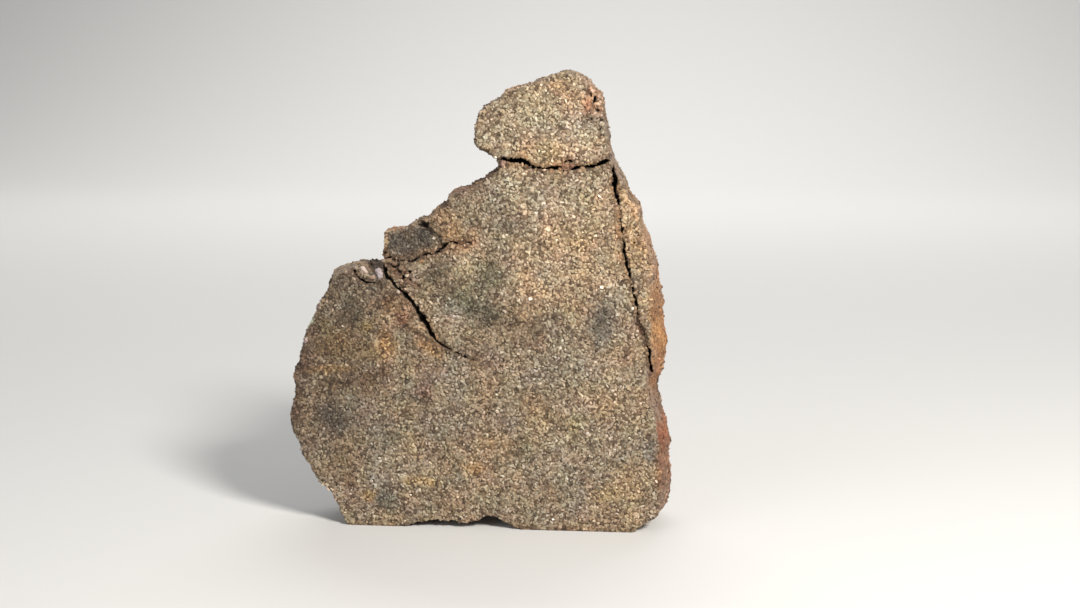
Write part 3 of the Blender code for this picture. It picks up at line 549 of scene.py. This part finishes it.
def cloud(places, size, seed):
    """Soft noise from about -1 to 1 at each place, with lumps of the given size."""
    shift = Vector((seed * 3.17, seed * 1.71, seed * 2.39))
    return np.array([noise.noise(Vector(place) / size + shift) for place in places])


def layered_cloud(places, layers):
    return sum(strength * cloud(places, size, seed) for strength, size, seed in layers)


def oval_distance(places, middle, half_sizes, turn):
    """How far each place is from the middle of an oval: 1 on its edge."""
    angle = math.radians(turn)
    dx = places[:, 0] - middle[0]
    dz = places[:, 2] - middle[1]
    along = (dx * math.cos(angle) + dz * math.sin(angle)) / half_sizes[0]
    across = (dz * math.cos(angle) - dx * math.sin(angle)) / half_sizes[1]
    return np.hypot(along, across)


def stain_over(colours, places, warp, stains, reach):
    """Changes colours by each stain, with ragged edges, where reach says."""
    for middle, half_sizes, turn, change, strength in stains.values():
        distance = oval_distance(places, middle, half_sizes, turn) + 0.4 * warp
        share = strength * reach * (1.0 - smooth_step(distance, 0.25, 1.25))
        colours *= 1.0 + share[:, None] * (np.array(change) - 1.0)
    return colours


def mottled(colours, places):
    """Soft uneven lightness and hue, as the minerals and the rust vary from place to place."""
    light = layered_cloud(places, LIGHTNESS)
    warm = layered_cloud(places, WARMTH)
    green = layered_cloud(places, GREENNESS)
    hue = np.column_stack([1.0 + warm - green, 1.0 + green, 1.0 - 1.3 * warm - 0.3 * green])
    return colours * hue * (1.0 + light)[:, None]


def stone_colours(places, rimness):
    """Colour of the stone at each place: the sawn faces' stains and the rim's weathering, with painted light
    and shade in some of the stains.
    """
    warp = layered_cloud(places, RAGGED_EDGES)
    depth = (places[:, 1] - FRONT) / (BACK - FRONT)
    is_front = 1.0 - smooth_step(depth, 0.4, 0.6)
    face = np.tile(FACE_COLOUR, (len(places), 1))
    face = stain_over(face, places, warp, FRONT_STAINS, is_front)
    face = stain_over(face, places, warp, BACK_STAINS, 1.0 - is_front)
    beside_crack = 1.0 - smooth_step(crack_distance(places) + 0.12 * warp, 0.0, CRACK_MARGIN_WIDTH)
    face *= 1.0 + beside_crack[:, None] * (np.array(CRACK_MARGIN) - 1.0)
    rim = np.tile(RIM_COLOUR, (len(places), 1))
    bent = places.copy()
    bent[:, 2] += layered_cloud(places, RIM_SWAY)
    behind = smooth_step(places[:, 1] - FRONT + layered_cloud(places, RIM_DEPTH_SWAY), 1.6, 3.6)
    rim = stain_over(rim, bent, warp, RIM_STAINS, np.ones(len(places)))
    rim = stain_over(rim, bent, warp, FRONT_RIM_STAINS, 1.0 - behind)
    rim = stain_over(rim, bent, warp, HIND_RIM_STAINS, behind)
    rim *= (1.0 + 0.22 * warp)[:, None]
    return mottled(face + (rim - face) * rimness[:, None], places)


def displace(obj, name, size, height, group):
    """Pushes the skin in and out by cloud noise, as far as the point group says."""
    texture = bpy.data.textures.new(name, "CLOUDS")
    texture.noise_scale = size
    texture.noise_depth = 2
    modifier = obj.modifiers.new(name, "DISPLACE")
    modifier.texture = texture
    modifier.texture_coords = "LOCAL"
    modifier.strength = height
    modifier.vertex_group = group
    apply_modifier(obj, name)


def point_group(obj, name, weights, steps=12):
    """A group that holds each point with its weight, rounded to a few steps."""
    group = obj.vertex_groups.new(name=name)
    levels = np.rint(weights * steps).astype(int)
    for level in range(1, steps + 1):
        chosen = np.flatnonzero(levels == level).tolist()
        if chosen:
            group.add(chosen, level / steps, "REPLACE")


def rim_share(places, normals):
    """0 on the sawn faces, 1 on the rim and in the cracks."""
    from_face = np.minimum(places[:, 1] - FRONT, BACK - places[:, 1])
    facing = np.abs(normals[:, 1])
    sandy_edge = np.maximum(smooth_step(from_face, 0.3, 1.0), 1.0 - smooth_step(facing, 0.25, 0.5))
    crusted_edge = np.maximum(smooth_step(from_face, 0.12, 0.35), 1.0 - smooth_step(facing, 0.55, 0.85))
    crust = 1.0 - smooth_step(oval_distance(places, *CRUST), 0.85, 1.0)
    rim = sandy_edge + (crusted_edge - sandy_edge) * crust
    for middle, half_sizes, turn in FRESH_BREAKS.values():
        inside = 1.0 - smooth_step(oval_distance(places, middle, half_sizes, turn), 0.75, 1.05)
        fresh = inside * smooth_step(-normals[:, 1], 0.12, 0.4) * (places[:, 1] < 0.0)
        rim *= 1.0 - fresh
    return rim


def surface_tree(mesh):
    """The mesh's faces, ready to be met by rays."""
    return BVHTree.FromPolygons(points_of(mesh).tolist(), [tuple(p.vertices) for p in mesh.polygons])


def shelter(mesh, places, normals):
    """How closed in each point is: the share of short rays that meet the stone again."""
    tree = surface_tree(mesh)
    hits = np.zeros(len(places))
    upright = Vector((0.0, 0.0, 1.0))
    slanted = [(math.cos(2.4 * k) * 0.75, math.sin(2.4 * k) * 0.75, 0.66) for k in range(SHELTER_RAYS - 1)]
    directions = [Vector(direction) for direction in slanted] + [upright]
    for i, (place, normal) in enumerate(zip(places, normals)):
        normal = Vector(normal)
        turn = upright.rotation_difference(normal)
        start = Vector(place) + normal * SHELTER_START
        for direction in directions:
            if tree.ray_cast(start, turn @ direction, SHELTER_REACH)[0] is not None:
                hits[i] += 1.0
    return hits / SHELTER_RAYS


def ragged_line(line):
    """The crack's line with close points that stray to the side, as loose grains leave it."""
    samples = []
    for (x0, z0, gap0), (x1, z1, gap1) in zip(line, line[1:]):
        length = math.hypot(x1 - x0, z1 - z0)
        steps = max(1, round(length / CRACK_STEP))
        across = ((z1 - z0) / length, -(x1 - x0) / length)
        for step in range(steps):
            share = step / steps
            x, z = x0 + (x1 - x0) * share, z0 + (z1 - z0) * share
            stray = CRACK_STRAY * noise.noise(Vector((x, z, 3.3)) / CRACK_STRAY_WAVE)
            swell = 1.0 + CRACK_SWELL * noise.noise(Vector((x, z, 8.8)) / CRACK_SWELL_WAVE)
            gap = (gap0 + (gap1 - gap0) * share + CRACK_WIDENING) * swell
            samples.append((x + stray * across[0], z + stray * across[1], gap))
    samples.append(line[-1])
    return samples


def crack_distance(places):
    """How far each place lies from the edge of the nearest crack, below 0 inside one."""
    nearest = np.full(len(places), FAR_AWAY)
    before, behind = places[:, 1] < CRACKS_PARTED_AT, places[:, 1] > CRACKS_PARTED_AT
    for cracks, is_here in ((FRONT_CRACKS, before), (BACK_CRACKS, behind)):
        spots = places[is_here][:, (0, 2)]
        best = np.full(len(spots), FAR_AWAY)
        for _, line in cracks.values():
            for (x0, z0, gap0), (x1, z1, gap1) in zip(line, line[1:]):
                start, along = np.array((x0, z0)), np.array((x1 - x0, z1 - z0))
                share = np.clip((spots - start) @ along / (along @ along), 0.0, 1.0)
                away = np.linalg.norm(spots - start - share[:, None] * along, axis=1)
                half = (gap0 + (gap1 - gap0) * share + CRACK_WIDENING) / 2
                best = np.minimum(best, away - half)
        nearest[is_here] = best
    return nearest


def crack_cutter(name, line, depth, face, inward):
    """A long ragged wedge that opens at a sawn face and closes at the stated depth."""
    samples = ragged_line(line)
    widest = max(gap for _, _, gap in samples)
    mouth = face - inward * CRACK_OVERLAP
    bm = bmesh.new()
    rings = []
    for i, (x, z, gap) in enumerate(samples):
        before, after = samples[max(i - 1, 0)], samples[min(i + 1, len(samples) - 1)]
        dx, dz = after[0] - before[0], after[1] - before[1]
        length = math.hypot(dx, dz)
        across = Vector((dz / length, 0.0, -dx / length))
        reach = depth * (CRACK_LEAST_DEPTH + (1 - CRACK_LEAST_DEPTH) * gap / widest)
        middle = Vector((x, mouth, z))
        tip = Vector((x, face + inward * reach, z))
        half = across * gap * CRACK_MOUTH
        rings.append([bm.verts.new(place) for place in (middle - half, middle + half, tip)])
    bm.faces.new(rings[0])
    bm.faces.new(rings[-1])
    for ring, following in zip(rings, rings[1:]):
        for a, b in ((0, 1), (1, 2), (2, 0)):
            bm.faces.new((ring[a], ring[b], following[b], following[a]))
    bmesh.ops.recalc_face_normals(bm, faces=bm.faces)
    mesh = bpy.data.meshes.new(name)
    bm.to_mesh(mesh)
    bm.free()
    return bpy.data.objects.new(name, mesh)


def front_of(tree, middle):
    """How far back the stone's front lies at a place (x, z)."""
    hit = tree.ray_cast(Vector((middle[0], FRONT - 3.0, middle[1])), Vector((0.0, 1.0, 0.0)))[0]
    return FRONT if hit is None else hit.y


def rough_ball(name, offset, uniform, normal, seed):
    """A ball of about 1 mm radius with its points pushed about."""
    deselect_all()
    bpy.ops.mesh.primitive_ico_sphere_add(subdivisions=2, radius=1.0)
    ball = bpy.context.object
    ball.name = name
    with edit_mode():
        bpy.ops.transform.vertex_random(offset=offset, uniform=uniform, normal=normal, seed=seed)
    return ball


def pit_cutter(name, middle, half_width, half_height, front):
    """A small rough egg that reaches into the front face."""
    cutter = rough_ball(name, offset=0.16, uniform=0.5, normal=0.3, seed=len(name))
    place = Matrix.Translation((middle[0], front, middle[1]))
    cutter.data.transform(place @ Matrix.Diagonal((half_width, PIT_DEPTH, half_height, 1.0)))
    for home in list(cutter.users_collection):
        home.objects.unlink(cutter)
    return cutter


def cut_cracks(skin):
    """Cuts the cracks finer and wider than the solid has them, and the small pits."""
    group = bpy.data.collections.new("crack cutters")
    for cracks, face, inward in ((FRONT_CRACKS, FRONT, 1), (BACK_CRACKS, BACK, -1)):
        for name, (depth, line) in cracks.items():
            group.objects.link(crack_cutter(name, line, depth, face, inward))
    solid = surface_tree(skin.data)
    for name, (middle, half_width, half_height) in PITS.items():
        group.objects.link(pit_cutter(name, middle, half_width, half_height, front_of(solid, middle)))
    bpy.context.scene.collection.children.link(group)
    boolean = skin.modifiers.new("cracks", "BOOLEAN")
    boolean.operation = "DIFFERENCE"
    boolean.solver = "EXACT"
    boolean.operand_type = "COLLECTION"
    boolean.collection = group
    apply_modifier(skin, "cracks")
    for cutter in list(group.objects):
        bpy.data.objects.remove(cutter, do_unlink=True)
    bpy.data.collections.remove(group)


def slab_skin():
    """The slab's own solid with a natural skin: waves on the sawn faces, lumps and grit on the rim."""
    mesh = frame["nodes"][NODE].data.copy()
    mesh.transform(Matrix.Scale(1 / MM, 4))
    skin = bpy.data.objects.new("slab_skin", mesh)
    bpy.context.scene.collection.objects.link(skin)
    mesh.materials.clear()
    make_active(skin)
    with edit_mode():
        bpy.ops.mesh.select_all(action="SELECT")
        bpy.ops.mesh.remove_doubles(threshold=MERGE_DISTANCE)

    cut_cracks(skin)
    skin.data.transform(Matrix.Diagonal((1.0, 1.0 - SKIN_INSET / BACK, 1.0, 1.0)))

    remesh = skin.modifiers.new("even skin", "REMESH")
    remesh.mode = "VOXEL"
    remesh.voxel_size = SKIN_VOXEL
    apply_modifier(skin, "even skin")

    places = points_of(skin.data)
    rim = rim_share(places, normals_of(skin.data))
    off_cracks = smooth_step(crack_distance(places), 0.0, 0.3)
    point_group(skin, "rim", rim * off_cracks)
    point_group(skin, "face", (1.0 - rim) * off_cracks)
    displace(skin, "rim lumps", RIM_LUMP_SIZE, RIM_LUMP_HEIGHT, "rim")
    displace(skin, "rim grit", RIM_GRIT_SIZE, RIM_GRIT_HEIGHT, "rim")
    displace(skin, "face waves", FACE_WAVE_SIZE, FACE_WAVE_HEIGHT, "face")

    thin = skin.modifiers.new("fewer faces", "DECIMATE")
    thin.ratio = SKIN_TRIANGLES / (2 * len(skin.data.polygons))
    apply_modifier(skin, "fewer faces")
    skin.vertex_groups.clear()
    for vertex in skin.data.vertices:
        vertex.co.z = max(vertex.co.z, 0.0)
    return skin


def paint_skin(skin):
    """Keeps each point's colour, rimness and shelter for the materials and the grains."""
    places, normals = points_of(skin.data), normals_of(skin.data)
    rim = rim_share(places, normals)
    keep_values(skin.data, "stone_colour", stone_colours(places, rim))
    keep_values(skin.data, "rimness", rim)
    keep_values(skin.data, "shelter", shelter(skin.data, places, normals))


def grain_shape(name, seed):
    """One rough mineral grain of 20 faces or fewer: rounded, or blocky like a crystal."""
    deselect_all()
    if seed % 5 < 3:
        bpy.ops.mesh.primitive_ico_sphere_add(subdivisions=1, radius=1.0)
    else:
        bpy.ops.mesh.primitive_cube_add(size=1.5)
    grain = bpy.context.object
    grain.name = name
    with edit_mode():
        bpy.ops.mesh.select_all(action="SELECT")
        bpy.ops.mesh.quads_convert_to_tris()
        bpy.ops.transform.vertex_random(offset=0.34, uniform=0.6, normal=0.0, seed=seed)
    return grain


def add_node(tree, kind, links=(), **settings):
    """A node with its settings, and its inputs filled from other nodes' outputs or with values."""
    node = tree.nodes.new(kind)
    for key, value in settings.items():
        setattr(node, key, value)
    for socket, value in dict(links).items():
        target = node.inputs[socket]
        if isinstance(value, bpy.types.NodeSocket):
            tree.links.new(value, target)
        else:
            target.default_value = value
    return node


def random_vector(tree, low, high, seed):
    ends = {0: low, 1: high, "Seed": seed}
    return add_node(tree, "FunctionNodeRandomValue", ends, data_type="FLOAT_VECTOR").outputs[0]


def stored(tree, geometry, name, value, kind):
    """The grains with a value stored under a name for each of them."""
    links = {"Geometry": geometry, "Name": name, "Value": value}
    store = "GeometryNodeStoreNamedAttribute"
    return add_node(tree, store, links, data_type=kind, domain="INSTANCE").outputs[0]


def scatter(name, ground, shapes, gap, size, seed):
    """Many grains as one joined mesh, where the ground's value of the same name is 1.

    Each grain takes the stone's colour from the ground under it, and gets a tone of its own.
    """
    tree = bpy.data.node_groups.new(name, "GeometryNodeTree")
    tree.interface.new_socket("Geometry", in_out="INPUT", socket_type="NodeSocketGeometry")
    tree.interface.new_socket("Geometry", in_out="OUTPUT", socket_type="NodeSocketGeometry")
    start = tree.nodes.new("NodeGroupInput")
    end = tree.nodes.new("NodeGroupOutput")

    chance = add_node(tree, "GeometryNodeInputNamedAttribute", {"Name": name}, data_type="FLOAT")
    points = add_node(
        tree,
        "GeometryNodeDistributePointsOnFaces",
        {0: start.outputs[0], "Distance Min": gap, "Density Max": 5.0 / gap**2, "Seed": seed},
        distribute_method="POISSON",
    )
    tree.links.new(chance.outputs["Attribute"], points.inputs["Density Factor"])
    down = {0: points.outputs["Normal"], "Scale": -GRAIN_SINK * size}
    sunk = add_node(tree, "ShaderNodeVectorMath", down, operation="SCALE").outputs[0]
    lowered = add_node(tree, "GeometryNodeSetPosition", {0: points.outputs["Points"], "Offset": sunk})
    most_turn = Vector((GRAIN_TILT, GRAIN_TILT, math.pi))
    spin = random_vector(tree, -most_turn, most_turn, seed + 1)
    turn = add_node(tree, "FunctionNodeEulerToRotation", {0: spin})
    turns = {0: points.outputs["Rotation"], 1: turn.outputs[0]}
    facing = add_node(tree, "FunctionNodeRotateRotation", turns, rotation_space="LOCAL")
    smallest = (size * 0.45, size * 0.45, size * 0.4)
    largest = (size * 1.4, size * 1.4, size * 0.85)
    kinds = bpy.data.collections.new(name + " shapes")
    for shape in shapes:
        kinds.objects.link(shape)
    choice = add_node(tree, "GeometryNodeCollectionInfo", {"Separate Children": True, "Reset Children": True})
    choice.inputs["Collection"].default_value = kinds
    placed = add_node(
        tree,
        "GeometryNodeInstanceOnPoints",
        {
            "Points": lowered.outputs[0],
            "Instance": choice.outputs[0],
            "Pick Instance": True,
            "Rotation": facing.outputs[0],
            "Scale": random_vector(tree, smallest, largest, seed + 2),
        },
    )
    tone = add_node(tree, "FunctionNodeRandomValue", {"Seed": seed + 3}, data_type="FLOAT").outputs[1]
    here = add_node(tree, "GeometryNodeInputPosition").outputs[0]
    toned = stored(tree, placed.outputs[0], "tone", tone, "FLOAT")
    marked = stored(tree, toned, "middle", here, "FLOAT_VECTOR")
    real = add_node(tree, "GeometryNodeRealizeInstances", {0: marked})
    tree.links.new(real.outputs[0], end.inputs[0])

    grains = bpy.data.objects.new(name, ground.data.copy())
    bpy.context.scene.collection.objects.link(grains)
    modifier = grains.modifiers.new("scatter", "NODES")
    modifier.node_group = tree
    apply_modifier(grains, "scatter")
    return grains


def clear_the_cracks(grains):
    """Takes away the grains with their middles at or over a crack, or low on the feet."""
    mesh = grains.data
    spots = np.empty(len(mesh.vertices) * 3, np.float32)
    mesh.attributes["middle"].data.foreach_get("vector", spots)
    middles, grain_of = np.unique(spots.reshape(-1, 3).round(4), axis=0, return_inverse=True)
    over = (crack_distance(middles.astype(float)) < CRACK_CLEARANCE) | (middles[:, 2] < FOOT_CLEARANCE)
    make_active(grains)
    with edit_mode():
        bpy.ops.mesh.select_mode(type="VERT")
        bpy.ops.mesh.select_all(action="DESELECT")
    mesh.vertices.foreach_set("select", over[grain_of.ravel()])
    with edit_mode():
        bpy.ops.mesh.delete(type="VERT")
    mesh.attributes.remove(mesh.attributes["middle"])


def grain_patches(skin):
    """Where each piece of grains goes on the skin, and its grains' gap and size."""
    places = points_of(skin.data)
    rim = read_values(skin.data, "rimness")
    closed = read_values(skin.data, "shelter")
    on_face = (rim < FACE_RIMNESS) & (closed < FACE_SHELTER)
    is_front = places[:, 1] < 0.0
    is_right = places[:, 0] > GRAINS_PARTED_AT
    patches = {}
    for side, on_side in (("front", is_front), ("back", ~is_front)):
        for half, in_half in (("left", ~is_right), ("right", is_right)):
            where = on_face & on_side & in_half
            patches[f"{side}_grains_{half}"] = (where, FACE_GRAIN_GAP, FACE_GRAIN_SIZE)
    where = (rim >= FACE_RIMNESS) & (closed < RIM_SHELTER)
    patches["rim_grains"] = (where, RIM_GRAIN_GAP, RIM_GRAIN_SIZE)
    return patches


def mineral_grains(skin):
    """The grains in the sawn faces, two pieces on each, and those in the rim."""
    shapes = [grain_shape(f"grain_shape_{i}", i) for i in range(5)]
    pieces = []
    for i, (name, (where, gap, size)) in enumerate(grain_patches(skin).items()):
        keep_values(skin.data, name, where)
        grains = scatter(name, skin, shapes, gap, size, 10 * i)
        skin.data.attributes.remove(skin.data.attributes[name])
        clear_the_cracks(grains)
        pieces.append(grains)
    for shape in shapes:
        bpy.data.objects.remove(shape, do_unlink=True)
    return pieces


def crumb_cluster(skin):
    """The crumbs and knobs that stand out one by one, joined into one piece."""
    tree = surface_tree(skin.data)
    crumbs = []
    for i, (name, (middle, half_sizes, turn, colour)) in enumerate(CRUMBS.items()):
        crumb = rough_ball(name, offset=0.2, uniform=0.4, normal=0.5, seed=i)
        spot = Vector((middle[0], min(front_of(tree, middle), FRONT + CRUMB_DEPTH), middle[1]))
        place = Matrix.Translation(tree.find_nearest(spot)[0])
        place @= Matrix.Rotation(math.radians(-turn), 4, "Y")
        place @= Matrix.Diagonal((half_sizes[0], half_sizes[1], half_sizes[1], 1.0))
        crumb.data.transform(place)
        count = len(crumb.data.vertices)
        shade = 1.0 + 0.3 * cloud(points_of(crumb.data), 0.12, i)
        keep_values(crumb.data, "stone_colour", np.tile(colour, (count, 1)) * shade[:, None])
        keep_values(crumb.data, "tone", np.full(count, 0.3))
        crumbs.append(crumb)
    make_active(crumbs[0])
    for crumb in crumbs:
        crumb.select_set(True)
    bpy.ops.object.join()
    crumbs[0].name = "loose_crumbs"
    return crumbs[0]


def finish_piece(piece, material):
    """Turns a piece from millimetres into metres, dresses it and lets it ride with the stone."""
    piece.data.transform(Matrix.Scale(MM, 4))
    piece.data.materials.clear()
    piece.data.materials.append(material)
    piece.data.update()
    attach(piece, "root")


def new_material(name):
    material = bpy.data.materials.new(name)
    material.use_nodes = True
    tree = material.node_tree
    return material, tree, tree.nodes["Principled BSDF"]


def own_value(tree, name, output="Fac"):
    return add_node(tree, "ShaderNodeAttribute", attribute_name=name).outputs[output]


def noise_texture(tree, place, scale, detail):
    return add_node(tree, "ShaderNodeTexNoise", {"Vector": place, "Scale": scale, "Detail": detail})


def colour_ramp(tree, factor, stops):
    ramp = add_node(tree, "ShaderNodeValToRGB", {"Fac": factor})
    elements = ramp.color_ramp.elements
    while len(elements) < len(stops):
        elements.new(0.5)
    for element, (position, colour) in zip(elements, stops):
        element.position = position
        element.color = (*colour, 1.0)
    return ramp.outputs["Color"]


def map_range(tree, value, span, result):
    """Moves a value from one span to another."""
    ends = {1: span[0], 2: span[1], 3: result[0], 4: result[1]}
    return add_node(tree, "ShaderNodeMapRange", {0: value, **ends}).outputs[0]


def mixed(tree, factor, first, second, blend="MIX"):
    """Two colours mixed. The sockets of a colour Mix node are 0, 6 and 7, and its result is 2."""
    links = {0: factor, 6: first, 7: second}
    return add_node(tree, "ShaderNodeMix", links, data_type="RGBA", blend_type=blend).outputs[2]


def multiplied(tree, first, *others):
    for other in others:
        first = mixed(tree, 1.0, first, other, "MULTIPLY")
    return first


def bump_up(tree, surface, strength, distance, height):
    bump = add_node(tree, "ShaderNodeBump", {"Strength": strength, "Distance": distance, "Height": height})
    tree.links.new(bump.outputs[0], surface.inputs["Normal"])


def mineral_material():
    """Grains of olivine, pyroxene and feldspar, each with a tone of its own, the lightest being near white
    painted glints.
    """
    material, tree, surface = new_material("mineral_grains")
    place = add_node(tree, "ShaderNodeTexCoord").outputs["Object"]
    tone = own_value(tree, "tone")
    kinds = colour_ramp(tree, tone, GRAIN_TONES_AND_GLINTS)
    sorts = add_node(tree, "ShaderNodeMath", {0: tone, 1: HUE_ROUNDS}, operation="MULTIPLY")
    sort = add_node(tree, "ShaderNodeMath", {0: sorts.outputs[0]}, operation="FRACT")
    hue = colour_ramp(tree, sort.outputs[0], GRAIN_HUES)
    fine = noise_texture(tree, place, 9000.0, 3.0).outputs["Fac"]
    mottle = colour_ramp(tree, fine, [(0.3, (0.72, 0.7, 0.68)), (0.7, (1.2, 1.2, 1.2))])
    base = multiplied(tree, own_value(tree, "stone_colour", "Color"), kinds, hue, mottle)
    tree.links.new(base, surface.inputs["Base Color"])
    tree.links.new(map_range(tree, tone, (0.86, 1.0), (0.78, 0.3)), surface.inputs["Roughness"])
    bump_up(tree, surface, 0.35, 0.00003, fine)
    return material


def skin_material():
    """The ground between the grains: dark and earthy on the faces, weathered and rusty on the rim, and
    darkened by painted shade where it is closed in.
    """
    material, tree, surface = new_material("weathered_skin_with_painted_shade")
    place = add_node(tree, "ShaderNodeTexCoord").outputs["Object"]
    stray = noise_texture(tree, place, 6000.0, 1.0).outputs["Color"]
    strayed = add_node(
        tree,
        "ShaderNodeVectorMath",
        {0: stray, 1: (0.00018, 0.00018, 0.00018), 2: place},
        operation="MULTIPLY_ADD",
    )
    grit = add_node(tree, "ShaderNodeTexVoronoi", {"Vector": strayed.outputs[0], "Scale": 3500.0})
    cell = add_node(tree, "ShaderNodeSeparateColor", {0: grit.outputs["Color"]})
    mineral = colour_ramp(tree, cell.outputs[0], GRIT_TONES)
    hue = colour_ramp(tree, cell.outputs[1], GRAIN_HUES)
    gap = colour_ramp(tree, grit.outputs["Distance"], [(0.36, (1.0, 1.0, 1.0)), (0.62, (0.44, 0.38, 0.32))])
    face_tone = multiplied(tree, mineral, hue, gap)

    speck = noise_texture(tree, place, 5200.0, 4.0).outputs["Fac"]
    rim_tone = colour_ramp(tree, speck, RIM_TONES)
    patch = noise_texture(tree, place, 900.0, 5.0).outputs["Fac"]
    broad = colour_ramp(tree, patch, [(0.32, (0.75, 0.72, 0.7)), (0.68, (1.2, 1.2, 1.2))])
    tone = mixed(tree, own_value(tree, "rimness"), face_tone, rim_tone)
    clean = multiplied(tree, own_value(tree, "stone_colour", "Color"), tone, broad)
    # Painted shade: the more short rays meet the stone again, the darker the skin is painted
    painted_shade = map_range(tree, own_value(tree, "shelter"), (0.25, 0.85), (0.0, 0.85))
    tree.links.new(mixed(tree, painted_shade, clean, PAINTED_SHADE_COLOUR), surface.inputs["Base Color"])
    tree.links.new(map_range(tree, speck, (0.3, 0.7), (0.7, 0.95)), surface.inputs["Roughness"])
    height = add_node(tree, "ShaderNodeMath", {0: speck, 1: grit.outputs["Distance"]}, operation="SUBTRACT")
    bump_up(tree, surface, 0.6, 0.00007, height.outputs[0])
    return material


def paper_material():
    material, _, surface = new_material("pale_paper")
    surface.inputs["Base Color"].default_value = (0.6, 0.595, 0.585, 1.0)
    surface.inputs["Roughness"].default_value = 0.8
    return material


def select_foot_of_wall(floor):
    """Selects the edge at the back of the paper that lies on the ground."""
    sheet = bmesh.from_edit_mesh(floor.data)
    bpy.ops.mesh.select_all(action="DESELECT")
    for edge in sheet.edges:
        edge.select_set(all(vertex.co.y > 1.0 and abs(vertex.co.z) < 0.01 for vertex in edge.verts))
    bmesh.update_edit_mesh(floor.data)


def studio_floor():
    """One sheet of paper that lies flat and curves up far behind."""
    deselect_all()
    bpy.ops.mesh.primitive_plane_add(size=FLOOR_SIZE)
    floor = bpy.context.object
    floor.name = "studio_floor"
    with edit_mode():
        bpy.ops.mesh.select_mode(type="EDGE")
        select_foot_of_wall(floor)
        bpy.ops.mesh.extrude_region_move(TRANSFORM_OT_translate={"value": (0.0, 0.0, WALL_HEIGHT)})
        select_foot_of_wall(floor)
        bpy.ops.mesh.bevel(offset=WALL_BEND, segments=24)
    floor.data.shade_smooth()
    floor.data.materials.append(paper_material())


def area_light(name, place, target, size, power, colour):
    data = bpy.data.lights.new(name, "AREA")
    data.shape = "DISK"
    data.size = size
    data.energy = power
    data.color = colour
    lamp = bpy.data.objects.new(name, data)
    lamp.location = place
    direction = Vector(target) - Vector(place)
    lamp.rotation_euler = direction.to_track_quat("-Z", "Y").to_euler()
    bpy.context.scene.collection.objects.link(lamp)


def studio_world():
    world = bpy.data.worlds.new("studio")
    world.use_nodes = True
    background = world.node_tree.nodes["Background"]
    background.inputs["Color"].default_value = (0.78, 0.79, 0.8, 1.0)
    background.inputs["Strength"].default_value = 0.35
    bpy.context.scene.world = world


def photo_camera():
    """The photograph's viewpoint."""
    data = bpy.data.cameras.new("camera")
    data.lens = CAMERA_LENS
    data.sensor_width = 36.0
    data.clip_start = 0.005
    camera = bpy.data.objects.new("camera", data)
    camera.location = CAMERA_PLACE
    camera.rotation_euler = (math.radians(90.0 - CAMERA_DOWN), 0.0, math.radians(CAMERA_LEFT))
    bpy.context.scene.collection.objects.link(camera)
    bpy.context.scene.camera = camera


# The stone
skin = slab_skin()
paint_skin(skin)
pieces = mineral_grains(skin)
pieces.append(crumb_cluster(skin))
finish_piece(skin, skin_material())
make_active(skin)
bpy.ops.object.shade_smooth_by_angle(angle=SMOOTH_ANGLE)
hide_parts(NODE)
minerals = mineral_material()
for piece in pieces:
    finish_piece(piece, minerals)

# The studio
studio_floor()
for name, settings in LIGHTS.items():
    area_light(name, *settings)
studio_world()
photo_camera()
bpy.context.scene.view_settings.view_transform = "Standard"
